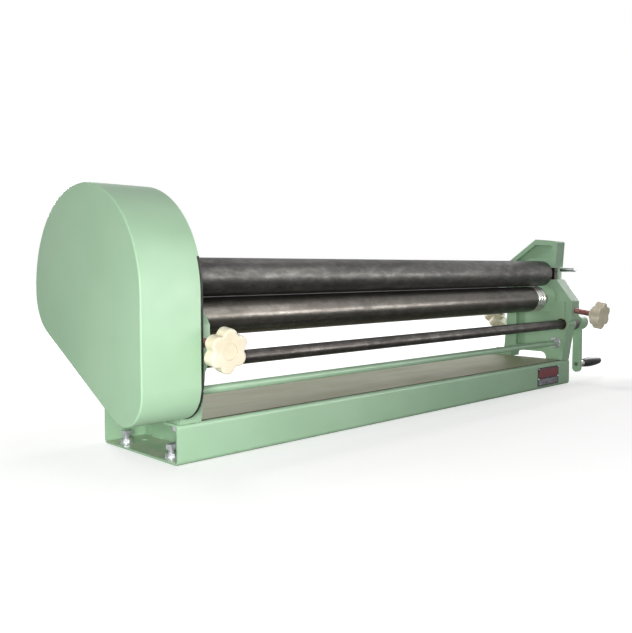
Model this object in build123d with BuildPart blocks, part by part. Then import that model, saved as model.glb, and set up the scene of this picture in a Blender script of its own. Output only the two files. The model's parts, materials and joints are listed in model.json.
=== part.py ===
from build123d import *
import os
from math import acos, atan2, cos, degrees, hypot, pi, radians, sin, sqrt, tan

# Hand-cranked plate rolling machine (slip roll), an assembly of separate pieces.
# Millimetres, +Z up, +X along the rolls towards the crank, -Y towards the operator.
# The origin is the middle of the base's underside.

# Base: a folded channel whose inward lips carry the two side frames
base_length = 1400
base_depth = 260
base_height = 74
base_overhang = 5
base_sheet = 4
base_bend = 8
base_lip = 46
cross_plate_inset = 94
cross_plate_thickness = 5
top_plate_thickness = 2
top_plate_margin = 4
anchor_end_inset = 60
anchor_side_inset = 50
anchor_hole_diameter = 14
level_screw_end_inset = 19
level_screw_side_inset = 50
level_screw_diameter = 12
level_screw_flats = 19
level_screw_head = 9
level_screw_stand = 17

# Side frames: castings with a rim, a thinner web and local bosses
frame_thickness = 45
frame_web = 17
frame_wall = 6
foot_proud = 1
foot_rear_inset = 10
foot_height = 14
foot_waist = 66
arch_front = -80
arch_rear = 40
arch_height = 22
arch_radius = 18
leg_step = 11
nose_reach = 95
nose_height = 55
wing_reach = 45
wing_rise = 95
covered_wing_rise = 55
wing_width = 72
wing_crown = 8
wing_slope = 36
mouth_step = 5
rear_reach = 57
outline_radius = 5
pocket_rim = 16
wing_pocket_inset = 32
wing_pocket_foot = 32
leg_pocket_inset = 32
leg_pocket_width = 32
boss_height = 4
boss_rim = 18
crank_boss_rim = 7

# Rolls
roll_diameter = 74
roll_gap = 1
roll_left_room = 15
top_roll_right_room = 10
lower_roll_right_room = 39
neck_diameter = 36
journal_diameter = 28
roll_chamfer = 1.5
wire_grooves = 3
wire_groove_radius = 4.5
wire_groove_pitch = 15
wire_groove_margin = 12

# Places of the roll and crank axes, seen from the end; the crank's bushes lie under the wedges
top_roll_y = -65
top_roll_z = 332.5
rear_set_back = 110
rear_drop = 2.5
crank_y = -128
crank_bush_room = 11

# Lower roll: blocks that rise and fall on wedges drawn by the front screws
lower_travel = 3
wedge_angle = 8
lower_block_width = 52
lower_block_below = 24
lower_block_above = 26
wedge_thickness = 14
wedge_lug_start = 37
wedge_lug_length = 22
wedge_lug_height = 11
nose_screw_height = 223

# Rear roll: blocks that slide up a slope on the rear screws
rear_slope = 45
rear_travel = 26
rear_block_width = 48
rear_block_tail = 30
rear_wall = 10

# Shared by the sliding blocks and screws
block_inset = 2
bush_wall = 4
screw_diameter = 16
screw_seat = 10
screw_end_cover = 6
front_knob_stand = 51
rear_knob_stand = 70
stop_room = 1

# Lobed knobs
knob_lobes = 6
knob_waist_radius = 24
knob_lobe_radius = 14.5
knob_lobe_place = 24.5
knob_thickness = 26
knob_edge_radius = 4
knob_web_radius = 5
knob_hub_diameter = 34
knob_hub_length = 12
knob_dish_diameter = 30
knob_dish_depth = 3

# Gear train under the left cover
roll_gear_teeth = 25
counter_pinion_teeth = 15
drive_gear_teeth = 86
crank_pinion_teeth = 27
pressure_angle = 25
tooth_root_modules = 1.25
tooth_thinning = 0.3
mesh_clearance = 0.3
gear_side_gap = 3
lower_gear_width = 26
counter_pinion_width = 25
lane_gap = 3
drive_gear_gap = 5
drive_gear_width = 22
drive_gear_web = 10
drive_gear_hub_diameter = 66
drive_gear_rim = 16
drive_gear_windows = 6
drive_gear_window_diameter = 50
counter_hub_diameter = 36
counter_bush_wall = 3
counter_stud_diameter = 20
counter_stud_bite = 35
counter_stud_tail = 3
counter_spacer_diameter = 33
counter_flange_diameter = 38
counter_flange = 3
counter_nut_flats = 30
counter_nut_height = 12
crank_pinion_margin = 2
gear_screw_flange_diameter = 38
gear_screw_flange = 3
gear_screw_flats = 17
gear_screw_head = 6
gear_screw_diameter = 10
gear_screw_bite = 25

# Ball-and-pin drive of the top roll at the left, open bearing at the right
hub_diameter = 50
hub_seat_diameter = 44
hub_bush_wall = 5
hub_proud = 3
hub_end_margin = 1.5
ball_diameter = 37.4
ball_inset = 10
ball_neck_diameter = 27
socket_depth = 35
drive_pin_diameter = 10
drive_pin_length = 46
drive_pin_side_room = 0.3
drive_pin_swing_room = 4
open_slot_height = 36
open_bearing_front = 38
open_bearing_width = 16.5
end_washer_diameter = 33
end_washer_thickness = 3

# Release cam in the mouth of the open bearing
cam_inset = 10.5
cam_set_back = 10
cam_diameter = 22
cam_throw = 1
cam_pin_diameter = 8
cam_pin_bite = 20
cam_handle_diameter = 12
cam_handle_start = 6
cam_handle_length = 52
cam_handle_rise = 11
cam_handle_dome = 5

# Crank
crank_shaft_diameter = 27
crank_shaft_tail = 15
crank_bush_wall = 3.5
crank_bush_flange_diameter = 44
crank_bush_flange = 3
crank_collar_diameter = 42
crank_collar_width = 28
crank_hub_stand = 45
crank_hub_length = 35
crank_hub_diameter = 44
crank_arm_inset = 6
crank_arm_thickness = 12
crank_arm_width = 26
crank_arm_edge = 1
crank_throw = 128
crank_arm_tail = 24
crank_cross_pin_diameter = 8
crank_cross_pin_inset = 8
spindle_diameter = 12
spindle_collar_diameter = 20
spindle_head_diameter = 20
spindle_head_thickness = 4
grip_stand = 27
grip_length = 104
grip_diameter = 29
grip_end_diameter = 23

# Tie rod and fasteners
tie_rod_y = -110
tie_rod_z = 126
tie_rod_diameter = 16
tie_nut_flats = 24
tie_nut_height = 12
tie_rod_tail = 5
frame_bolt_diameter = 12
frame_bolt_flats = 19
frame_bolt_head = 8
frame_bolt_nut = 10
frame_bolt_tail = 4
frame_bolt_set_in = 25
frame_bolt_pocket = 30
frame_bolt_pocket_height = 18
frame_bolt_pocket_depth = 23
collar_diameter = 44
collar_width = 10

# Gear cover: a sheet-metal drum with a straight front and a slanted lower back
cover_depth = 119
cover_sheet = 2.5
cover_front = -203
cover_radius = 191
cover_centre_z = 307
cover_low_radius = 62
cover_low_z = 150
cover_cut_angle = 28.2
cover_corner_radius = 90
cover_edge_radius = 3
cover_knob_room = 5
bracket_angles = (62, 11)
bracket_reach = (150, 104)
bracket_low_place = 110
bracket_low_reach = 45
bracket_width = 30
bracket_thickness = 4
bracket_leg = 34
bracket_hole_inset = 12
cover_screw_diameter = 8
cover_screw_flats = 13
cover_screw_head = 5.5
cover_screw_bite = 14
cover_screw_tail = 5

# Shared clearances
running_clearance = 0.05
fit_clearance = 0.02
slide_clearance = 0.2
side_clearance = 0.3
neck_clearance = 1

# Derived sizes
frame_gap = base_length - 2 * (frame_thickness + base_overhang)
inner_face = frame_gap / 2
outer_face = inner_face + frame_thickness
frame_middle = inner_face + frame_thickness / 2
pocket_depth = (frame_thickness - frame_web) / 2
block_inner = inner_face + frame_wall + side_clearance
block_outer = outer_face - block_inset
collar_start = outer_face + side_clearance
collar_end = collar_start + collar_width
gear_module = (roll_diameter + roll_gap) / roll_gear_teeth
half_lower_block = lower_block_width / 2
half_rear_block = rear_block_width / 2
bush_diameter = journal_diameter + 2 * bush_wall
bush_seat = bush_diameter + 2 * fit_clearance
journal_bore = journal_diameter + 2 * running_clearance
journal_fit = journal_diameter + 2 * fit_clearance
screw_bore = screw_diameter + 2 * running_clearance
roll_left_end = inner_face - roll_left_room
top_roll_right_end = inner_face - top_roll_right_room
lower_roll_right_end = inner_face - lower_roll_right_room
foot_front = -base_depth / 2 - foot_proud
foot_rear = base_depth / 2 - foot_rear_inset
knob_radius = knob_lobe_place + knob_lobe_radius
screw_in_knob = knob_hub_length + knob_thickness - knob_dish_depth - screw_end_cover
wedge_travel = lower_travel / sin(radians(wedge_angle))
ramp = tan(radians(wedge_angle))

top_axis = (top_roll_y, top_roll_z)
lower_axis = (top_roll_y, top_roll_z - roll_diameter - roll_gap)
rear_axis = (lower_axis[0] + rear_set_back, lower_axis[1] - rear_drop)
tie_axis = (tie_rod_y, tie_rod_z)
cover_centre = (cover_front + cover_radius, cover_centre_z)
cover_low_centre = (cover_front + cover_low_radius, cover_low_z)


def pitch_radius(teeth):
    """Pitch radius of a gear of the train."""
    return gear_module * teeth / 2


def mesh_distance(teeth, other_teeth):
    """Distance between two meshing shafts."""
    return pitch_radius(teeth) + pitch_radius(other_teeth) + mesh_clearance


def polar(start, angle, distance):
    """Point at a distance from start, along an angle from +Y towards +Z."""
    return (start[0] + distance * cos(radians(angle)), start[1] + distance * sin(radians(angle)))


def heading(start, end):
    """Angle from start to end, in degrees from +Y towards +Z."""
    return degrees(atan2(end[1] - start[1], end[0] - start[0]))


def rear_meeting(first, first_radius, second, second_radius):
    """Point at given distances from an upper and a lower axis, behind the line that joins them."""
    gap = hypot(second[0] - first[0], second[1] - first[1])
    along = (gap**2 + first_radius**2 - second_radius**2) / (2 * gap)
    aside = sqrt(first_radius**2 - along**2)
    foot = polar(first, heading(first, second), along)
    return polar(foot, heading(first, second) + 90, aside)


# Lines of the wedges under the lower roll's blocks, and the crank below them
nose_front = lower_axis[0] - nose_reach
front_screw_exit = (nose_front, nose_screw_height)
wedge_top = lower_axis[1] - lower_block_below - slide_clearance / 2
crank_bush_diameter = crank_shaft_diameter + 2 * crank_bush_wall


def ramp_height(y):
    """Height of the wedge's sloping underside."""
    return wedge_top - wedge_thickness + (y - lower_axis[0]) * ramp


def screw_height(y):
    """Height of a front screw's axis, parallel to the ramp."""
    return front_screw_exit[1] + (y - nose_front) * ramp


def lug_height(y):
    """Height of the top of the wedge's lug, which the front screw holds."""
    return screw_height(y) + wedge_lug_height / cos(radians(wedge_angle))


def lug_floor(y):
    """Height of the lug's underside: the ramp goes on under it, or it reaches below a low screw."""
    return min(ramp_height(y), screw_height(y) - wedge_lug_height / cos(radians(wedge_angle)))


crank_axis = (crank_y, lug_floor(crank_y) - crank_bush_room - crank_bush_diameter / 2)
grip_axis = (crank_y, crank_axis[1] - crank_throw)
counter_axis = rear_meeting(
    top_axis,
    mesh_distance(roll_gear_teeth, counter_pinion_teeth),
    crank_axis,
    mesh_distance(drive_gear_teeth, crank_pinion_teeth),
)

# Gear lanes on the left, as distances from the middle of the machine
lower_gear_start = outer_face + gear_side_gap
lower_gear_end = lower_gear_start + lower_gear_width
counter_pinion_start = lower_gear_end + lane_gap
counter_pinion_end = counter_pinion_start + counter_pinion_width
drive_gear_start = counter_pinion_end + drive_gear_gap
drive_gear_end = drive_gear_start + drive_gear_width
counter_hub_end = drive_gear_end + crank_pinion_margin

# Slides: the front screws draw the wedges down a gentle ramp, the rear screws push up a slope
front_out = (0, -cos(radians(wedge_angle)), -sin(radians(wedge_angle)))
rear_in = (0, -cos(radians(rear_slope)), sin(radians(rear_slope)))
rear_out = (0, -rear_in[1], -rear_in[2])


def shaft_plane(x, axis):
    """Plane square to X at x, with its origin on an axis, local x to the rear and local y up."""
    return Plane(origin=(x, axis[0], axis[1]), x_dir=(0, 1, 0), z_dir=(1, 0, 0))


def rear_plane(x):
    """Plane square to X on the rear roll's axis, local x along its slide."""
    return Plane(origin=(x, rear_axis[0], rear_axis[1]), x_dir=rear_in, z_dir=(1, 0, 0))


def front_screw_plane(x, distance):
    """Plane square to a front screw, a distance outside the nose."""
    middle = Vector(x, *front_screw_exit) + Vector(*front_out) * distance
    return Plane(origin=middle, x_dir=(1, 0, 0), z_dir=front_out)


def rear_screw_plane(x, distance):
    """Plane square to a rear screw, a distance out from the rear roll's axis."""
    middle = Vector(x, *rear_axis) + Vector(*rear_out) * distance
    return Plane(origin=middle, x_dir=(1, 0, 0), z_dir=rear_out)


def span(side, near, far):
    """Start and end along X of a stretch on one side of the machine."""
    return (near, far) if side > 0 else (-far, -near)


def save(builder, name):
    """Label a finished piece and write it under its node name."""
    builder.part.label = name
    export_step(builder.part, f"parts/{name}.step")


def pin(plane, length, diameter, mode=Mode.ADD):
    """Round pin or hole that starts on a plane and runs along its normal."""
    with BuildSketch(plane) as section:
        Circle(diameter / 2)
    extrude(section.sketch, amount=length, mode=mode)


def rod(axis, start, end, diameter, mode=Mode.ADD):
    """Round bar or bore along X."""
    pin(shaft_plane(start, axis), end - start, diameter, mode)


def ring(axis, start, end, outside, inside):
    """Plain ring along X."""
    with BuildSketch(shaft_plane(start, axis)) as section:
        Circle(outside / 2)
        Circle(inside / 2, mode=Mode.SUBTRACT)
    extrude(section.sketch, amount=end - start)


def hexagon(plane, height, flats, bore=0):
    """Hexagon prism by its size across flats, with a bore where it is a nut."""
    with BuildSketch(plane) as section:
        RegularPolygon(radius=flats / 2, side_count=6, major_radius=False)
        if bore:
            Circle(bore / 2, mode=Mode.SUBTRACT)
    extrude(section.sketch, amount=height)


def turned(profile, axis):
    """Solid of revolution about an axis along X, from (x, radius) corners."""
    plane = Plane(origin=(0, axis[0], axis[1]), x_dir=(1, 0, 0), z_dir=(0, -1, 0))
    with BuildSketch(plane) as section:
        with BuildLine():
            Polyline(*profile, close=True)
        make_face()
    revolve(section.sketch, axis=Axis((0, axis[0], axis[1]), (1, 0, 0)))


def tooth_half_angle(teeth, radius):
    """Half the angle that a tooth takes up at a radius."""
    pitch = pitch_radius(teeth)
    base = pitch * cos(radians(pressure_angle))

    def involute(place):
        roll = acos(min(1, base / place))
        return tan(roll) - roll

    at_pitch = pi / (2 * teeth) - tooth_thinning / (2 * pitch)
    return degrees(at_pitch + involute(pitch) - involute(max(radius, base)))


def gear_teeth(axis, start, end, teeth, phase):
    """Spur gear blank with involute teeth, one of them centred on the phase angle."""
    pitch = pitch_radius(teeth)
    radii = (pitch - tooth_root_modules * gear_module, pitch, pitch + gear_module)
    corners = []
    for tooth in range(teeth):
        middle = phase + tooth * 360 / teeth
        corners += [polar((0, 0), middle - tooth_half_angle(teeth, r), r) for r in radii]
        corners += [polar((0, 0), middle + tooth_half_angle(teeth, r), r) for r in reversed(radii)]
    with BuildSketch(shaft_plane(start, axis)) as section:
        with BuildLine():
            Polyline(*corners, close=True)
        make_face()
    extrude(section.sketch, amount=end - start)


def mesh_phase(teeth, phase, other_teeth, angle):
    """Phase of a gear that meshes with a first gear, along the angle from the first to it."""
    return angle + 180 + (180 - teeth * (phase - angle)) / other_teeth


os.makedirs("parts", exist_ok=True)

# Base channel, open at both ends and along its top between the lips
front_bolt_x = outer_face - frame_bolt_pocket_depth / 2
front_bolt_y = foot_front + frame_bolt_set_in
rear_bolt_y = foot_rear - frame_bolt_set_in
frame_bolt_spots = ((front_bolt_x, front_bolt_y), (frame_middle, rear_bolt_y))
frame_bolt_places = [(side * x, y) for side in (-1, 1) for x, y in frame_bolt_spots]
anchor_places = GridLocations(
    base_length - 2 * anchor_end_inset,
    base_depth - 2 * anchor_side_inset,
    2,
    2,
)
level_places = GridLocations(
    base_length - 2 * level_screw_end_inset,
    base_depth - 2 * level_screw_side_inset,
    2,
    2,
)
with BuildPart() as base_channel:
    with BuildSketch(Plane.YZ.offset(-base_length / 2)):
        with Locations((0, base_height / 2)):
            RectangleRounded(base_depth, base_height, base_bend)
            RectangleRounded(
                base_depth - 2 * base_sheet,
                base_height - 2 * base_sheet,
                base_bend - base_sheet,
                mode=Mode.SUBTRACT,
            )
        with Locations((0, base_height)):
            Rectangle(base_depth - 2 * base_lip, 3 * base_sheet, mode=Mode.SUBTRACT)
    extrude(amount=base_length)
    with BuildSketch(Plane.XY):
        with anchor_places:
            Circle(anchor_hole_diameter / 2)
        with level_places:
            Circle(level_screw_diameter / 2 + running_clearance)
    extrude(amount=base_sheet, mode=Mode.SUBTRACT)
    with BuildSketch(Plane.XY.offset(base_height)):
        with Locations(*frame_bolt_places):
            Circle(frame_bolt_diameter / 2 + running_clearance)
    extrude(amount=-base_sheet, mode=Mode.SUBTRACT)
save(base_channel, "base_channel")

# Two stiffening plates across the channel, just inside the frames
with BuildPart() as base_cross_plates:
    for side in (-1, 1):
        plate_x = side * (base_length / 2 - cross_plate_inset)
        with BuildSketch(Plane.YZ.offset(plate_x - cross_plate_thickness / 2)):
            with Locations((0, base_height / 2)):
                RectangleRounded(
                    base_depth - 2 * base_sheet,
                    base_height - 2 * base_sheet,
                    base_bend - base_sheet,
                )
        extrude(amount=cross_plate_thickness)
save(base_cross_plates, "base_cross_plates")

# Bare steel sheet lying on the lips between the frames
with BuildPart() as base_top_plate:
    with BuildSketch(Plane.XY.offset(base_height)):
        Rectangle(frame_gap - 2 * stop_room, base_depth - 2 * top_plate_margin)
    extrude(amount=top_plate_thickness)
save(base_top_plate, "base_top_plate")

# Levelling screws in the floor of the channel, at its open ends
with BuildPart() as level_screws:
    head_base = base_sheet + level_screw_stand
    with BuildSketch(Plane.XY):
        with level_places:
            Circle(level_screw_diameter / 2)
    extrude(amount=head_base)
    with BuildSketch(Plane.XY.offset(head_base)):
        with level_places:
            RegularPolygon(radius=level_screw_flats / 2, side_count=6, major_radius=False)
    extrude(amount=level_screw_head)
save(level_screws, "level_screws")

# Side frames
slot_bottom = top_axis[1] - open_slot_height / 2
slot_top = top_axis[1] + open_slot_height / 2
nose_bottom = front_screw_exit[1] - nose_height / 2
nose_top = front_screw_exit[1] + nose_height / 2
mouth_y = top_axis[0] - wing_reach
wing_top = top_axis[1] + wing_rise
covered_wing_top = top_axis[1] + covered_wing_rise
rear_edge = rear_axis[0] + rear_reach
shoulder_z = wing_top + wing_crown - (rear_edge - mouth_y - wing_width) * tan(radians(wing_slope))
rear_face_distance = rear_block_tail + stop_room + rear_wall
rear_face = polar(rear_axis, -rear_slope, rear_face_distance)
rear_face_top = rear_face[1] + (rear_edge - rear_face[0]) / tan(radians(rear_slope))
waist_top = polar(rear_face, rear_slope - 180, half_rear_block + stop_room)
foot_top = base_height + foot_height
hub_bush_diameter = hub_diameter + 2 * hub_bush_wall
lug_back = lower_axis[0] - wedge_lug_start
lug_front = lug_back - wedge_lug_length
wedge_back = lower_axis[0] + half_lower_block
cam_x = outer_face - cam_inset
cam_y = mouth_y + mouth_step + cam_set_back


def closed_shape(*corners):
    """Face with straight sides, in the sketch in use."""
    with BuildLine() as sides:
        Polyline(*corners, close=True)
    make_face(sides.edges())


def frame_outline(top):
    """Side view of a frame casting, with its wing up to a given height."""
    closed_shape(
        (foot_front, base_height),
        (nose_front + leg_step, nose_bottom - leg_step / 2),
        (nose_front, nose_bottom),
        (nose_front, nose_top),
        (mouth_y, slot_bottom),
        (mouth_y + mouth_step, slot_top),
        (mouth_y, top),
        (mouth_y + wing_width, top + wing_crown),
        (rear_edge, shoulder_z),
        (rear_edge, rear_face_top),
        waist_top,
        (foot_waist, foot_top + foot_height / 2),
        (foot_waist + foot_height / 2, foot_top),
        (foot_rear, foot_top),
        (foot_rear, base_height),
    )


def wing_pocket():
    """Recess inside the rim of the wing."""
    wing_floor = top_axis[1] + hub_bush_diameter / 2 + pocket_rim
    wing_corner = rear_edge - wing_pocket_inset
    closed_shape(
        (mouth_y + mouth_step + pocket_rim, wing_floor),
        (mouth_y + pocket_rim, wing_top - pocket_rim + wing_crown / 2),
        (mouth_y + wing_width, wing_top + wing_crown - pocket_rim),
        (wing_corner, shoulder_z + pocket_rim / 2),
        (wing_corner - wing_pocket_foot, shoulder_z + pocket_rim / 2),
        (top_axis[0] + wing_reach, wing_floor),
    )


def leg_pocket():
    """Recess in the rear leg, over the arch."""
    leg_floor = base_height + arch_height + pocket_rim
    leg_ceiling = waist_top[1] + pocket_rim / 2
    leg_back = waist_top[0] - leg_pocket_inset
    leg_front = leg_back - leg_pocket_width
    closed_shape(
        (leg_front, leg_floor),
        (leg_back, leg_floor),
        (leg_back, leg_ceiling),
        (leg_front, leg_ceiling),
    )


def wedge_channel():
    """Side view of the space in a frame that the wedge slides through."""
    front = lug_front - wedge_travel - stop_room
    back = wedge_back + slide_clearance
    lug_wall = lug_back + stop_room
    ceiling = wedge_top + slide_clearance
    closed_shape(
        (back, ramp_height(back) - slide_clearance),
        (lug_wall, ramp_height(lug_wall) - slide_clearance),
        (lug_wall, ceiling),
        (back, ceiling),
    )
    closed_shape(
        (lug_wall, lug_floor(lug_wall) - slide_clearance),
        (front, lug_floor(front) - slide_clearance),
        (front, lug_height(front) + slide_clearance),
        (lug_wall, lug_height(lug_wall) + slide_clearance),
    )


def cast_frame(side, top, pockets):
    """Casting with its bosses, pockets, guide windows and bores, but no top bearing."""
    inside = side * inner_face
    floor = side * (inner_face + frame_wall)
    boss_face = side * (inner_face - boss_height)
    past = side * (frame_thickness + boss_height)
    with BuildSketch(Plane.YZ.offset(inside)) as body:
        frame_outline(top)
        fillet([corner for corner in body.vertices() if corner.Y > foot_top], outline_radius)
        with Locations(crank_axis):
            Circle(crank_bush_diameter / 2 + crank_boss_rim)
        with Locations(((arch_front + arch_rear) / 2, base_height)):
            RectangleRounded(arch_rear - arch_front, 2 * arch_height, arch_radius, mode=Mode.SUBTRACT)
    extrude(body.sketch, amount=side * frame_thickness)
    for shape, face, depth in pockets:
        with BuildSketch(Plane.YZ.offset(side * face)) as pocket:
            shape()
            fillet(pocket.vertices(), outline_radius)
        extrude(pocket.sketch, amount=side * depth, mode=Mode.SUBTRACT)
    with BuildSketch(Plane.YZ.offset(inside)) as bosses:
        with Locations(lower_axis):
            Circle(half_lower_block + boss_rim)
        with Locations(((nose_front + lug_back) / 2 + pocket_rim, front_screw_exit[1])):
            RectangleRounded(lug_back - nose_front - pocket_rim / 2, nose_height, outline_radius)
    extrude(bosses.sketch, amount=-side * boss_height)
    with BuildSketch(Plane.YZ.offset(floor)) as lower_window:
        window_top = lower_axis[1] + lower_block_above + stop_room
        with Locations((lower_axis[0], (window_top + wedge_top) / 2)):
            Rectangle(lower_block_width + 2 * slide_clearance, window_top - wedge_top)
        wedge_channel()
    extrude(lower_window.sketch, amount=past, mode=Mode.SUBTRACT)
    with BuildSketch(rear_plane(floor)) as rear_window:
        with Locations(((rear_travel + half_rear_block - rear_block_tail) / 2, 0)):
            Rectangle(
                rear_block_tail + half_rear_block + rear_travel + 2 * stop_room,
                rear_block_width + 2 * slide_clearance,
            )
    extrude(rear_window.sketch, amount=past, mode=Mode.SUBTRACT)
    with BuildSketch(shaft_plane(boss_face, lower_axis)) as lower_hole:
        with Locations((0, -lower_travel / 2)):
            SlotCenterToCenter(lower_travel, neck_diameter + 2 * neck_clearance, rotation=90)
    extrude(lower_hole.sketch, amount=past, mode=Mode.SUBTRACT)
    with BuildSketch(rear_plane(boss_face)) as rear_hole:
        with Locations((rear_travel / 2, 0)):
            SlotCenterToCenter(rear_travel, neck_diameter + 2 * neck_clearance)
    extrude(rear_hole.sketch, amount=past, mode=Mode.SUBTRACT)
    front_hole = screw_diameter + (lug_front - nose_front) / cos(radians(wedge_angle))
    pin(front_screw_plane(side * frame_middle, screw_diameter), -front_hole, screw_bore, Mode.SUBTRACT)
    pin(rear_screw_plane(side * frame_middle, rear_block_tail), 2 * rear_wall, screw_bore, Mode.SUBTRACT)
    rod(crank_axis, boss_face, boss_face + past, crank_bush_diameter + 2 * fit_clearance, Mode.SUBTRACT)
    rod(tie_axis, boss_face, boss_face + past, tie_rod_diameter + 2 * fit_clearance, Mode.SUBTRACT)
    with BuildSketch(Plane.XY.offset(foot_top)) as bolt_pocket:
        with Locations((side * front_bolt_x, front_bolt_y)):
            Rectangle(frame_bolt_pocket_depth, frame_bolt_pocket)
    extrude(bolt_pocket.sketch, amount=frame_bolt_pocket_height, mode=Mode.SUBTRACT)
    for bolt_x, bolt_y in frame_bolt_spots:
        hole_plane = Plane(origin=(side * bolt_x, bolt_y, base_height))
        pin(hole_plane, foot_height, frame_bolt_diameter + 2 * running_clearance, Mode.SUBTRACT)


# Cover brackets: where each starts on the left frame, its direction, its reach, and the gap
# between its flat end and the cover's wall
cover_inside = cover_radius - cover_sheet
bracket_seat = sqrt(cover_inside**2 - (bracket_width / 2) ** 2)
low_tangent = polar(cover_low_centre, cover_cut_angle - 90, cover_low_radius)
low_foot = polar(low_tangent, cover_cut_angle, bracket_low_place)
low_start = polar(low_foot, cover_cut_angle + 90, bracket_low_reach)
bracket_places = [
    (polar(cover_centre, angle, bracket_seat - reach), angle, reach, cover_inside - bracket_seat)
    for angle, reach in zip(bracket_angles, bracket_reach)
]
bracket_places.append((low_start, cover_cut_angle - 90, bracket_low_reach - cover_sheet, 0))
bracket_outer = outer_face + bracket_thickness
rim_screw_x = -(outer_face + (bracket_thickness + bracket_leg) / 2)


def rim_screw_plane(place, distance):
    """Plane square to a bracket's reach, where its screw goes through the cover's wall."""
    start, angle, reach, gap = place
    spot = polar(start, angle, distance)
    return Plane(origin=(rim_screw_x, *spot), z_dir=(0, cos(radians(angle)), sin(radians(angle))))


def bracket_hole(place):
    """Place of the hole that fastens a bracket to the frame."""
    return polar(place[0], place[1], bracket_hole_inset)


with BuildPart() as left_frame:
    cast_frame(-1, covered_wing_top, [(leg_pocket, inner_face, pocket_depth)])
    rod(top_axis, -outer_face, -inner_face, hub_bush_diameter + 2 * fit_clearance, Mode.SUBTRACT)
    stud_end = counter_stud_bite - outer_face
    rod(counter_axis, -outer_face, stud_end, counter_stud_diameter + 2 * fit_clearance, Mode.SUBTRACT)
    for place in bracket_places:
        hole_end = cover_screw_bite - outer_face
        hole_size = cover_screw_diameter + 2 * running_clearance
        rod(bracket_hole(place), -outer_face, hole_end, hole_size, Mode.SUBTRACT)
save(left_frame, "left_frame")

with BuildPart() as right_frame:
    pocket_shapes = (wing_pocket, leg_pocket)
    pocket_faces = ((inner_face, pocket_depth), (outer_face, -pocket_depth))
    cast_frame(1, wing_top, [(shape, *face) for shape in pocket_shapes for face in pocket_faces])
    with BuildSketch(shaft_plane(inner_face, top_axis)):
        Circle(open_slot_height / 2)
        with Locations((-wing_reach, 0)):
            Rectangle(2 * wing_reach, open_slot_height)
    extrude(amount=frame_thickness, mode=Mode.SUBTRACT)
    cam_pin_plane = Plane(origin=(cam_x, cam_y, slot_bottom - cam_pin_bite))
    cam_pin_length = open_slot_height + 2 * cam_pin_bite
    pin(cam_pin_plane, cam_pin_length, cam_pin_diameter + 2 * fit_clearance, Mode.SUBTRACT)
save(right_frame, "right_frame")

# Bolts and nuts that hold the frames' feet to the lips of the base
with BuildPart() as frame_bolts:
    lip_underside = base_height - base_sheet
    shank_end = lip_underside - frame_bolt_nut - frame_bolt_tail
    for bolt_x, bolt_y in frame_bolt_places:
        pin(Plane(origin=(bolt_x, bolt_y, shank_end)), foot_top - shank_end, frame_bolt_diameter)
        hexagon(Plane(origin=(bolt_x, bolt_y, foot_top)), frame_bolt_head, frame_bolt_flats)
        nut_plane = Plane(origin=(bolt_x, bolt_y, lip_underside - frame_bolt_nut))
        hexagon(nut_plane, frame_bolt_nut, frame_bolt_flats, frame_bolt_diameter + 2 * fit_clearance)
save(frame_bolts, "frame_bolts")

# Tie rod between the frames, with a nut on each side of each frame
with BuildPart() as tie_rod:
    tie_end = outer_face + tie_nut_height + tie_rod_tail
    rod(tie_axis, -tie_end, tie_end, tie_rod_diameter)
save(tie_rod, "tie_rod")

with BuildPart() as tie_rod_nuts:
    for nut_start in (-outer_face - tie_nut_height, -inner_face, inner_face - tie_nut_height, outer_face):
        nut_bore = tie_rod_diameter + 2 * fit_clearance
        hexagon(shaft_plane(nut_start, tie_axis), tie_nut_height, tie_nut_flats, nut_bore)
save(tie_rod_nuts, "tie_rod_nuts")

# Crank shaft, its bushes in the frames, and what is fixed to it
for hand, side in (("left", -1), ("right", 1)):
    with BuildPart() as crank_bush:
        crank_bore = crank_shaft_diameter + 2 * running_clearance
        flange_end = outer_face + crank_bush_flange
        ring(crank_axis, *span(side, inner_face, outer_face), crank_bush_diameter, crank_bore)
        ring(crank_axis, *span(side, outer_face, flange_end), crank_bush_flange_diameter, crank_bore)
    save(crank_bush, f"crank_bush_{hand}")

crank_fit = crank_shaft_diameter + 2 * fit_clearance
crank_pinion_start = drive_gear_start - crank_pinion_margin
crank_pinion_end = drive_gear_end + crank_pinion_margin
crank_hub_start = outer_face + crank_hub_stand
crank_hub_end = crank_hub_start + crank_hub_length
crank_shaft_right_end = crank_hub_end + crank_shaft_tail
crank_arm_start = crank_hub_start + crank_arm_inset
crank_arm_end = crank_arm_start + crank_arm_thickness
grip_start = crank_arm_end + grip_stand
cross_pin_x = crank_hub_end - crank_cross_pin_inset
cross_pin_plane = Plane(
    origin=(cross_pin_x, crank_axis[0] - crank_hub_diameter / 2, crank_axis[1]),
    z_dir=(0, 1, 0),
)
cross_pin_hole = crank_cross_pin_diameter + 2 * fit_clearance
drive_phase = heading(counter_axis, crank_axis)
with BuildPart() as crank_shaft:
    rod(crank_axis, -crank_pinion_end - crank_pinion_margin, crank_shaft_right_end, crank_shaft_diameter)
    chamfer(crank_shaft.edges().filter_by(GeomType.CIRCLE), roll_chamfer)
    pin(cross_pin_plane, crank_hub_diameter, cross_pin_hole, Mode.SUBTRACT)
save(crank_shaft, "crank_shaft")

with BuildPart() as crank_pinion:
    pinion_phase = mesh_phase(drive_gear_teeth, drive_phase, crank_pinion_teeth, drive_phase)
    gear_teeth(crank_axis, -crank_pinion_end, -crank_pinion_start, crank_pinion_teeth, pinion_phase)
    rod(crank_axis, -crank_pinion_end, -crank_pinion_start, crank_fit, Mode.SUBTRACT)
save(crank_pinion, "crank_pinion")

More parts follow.
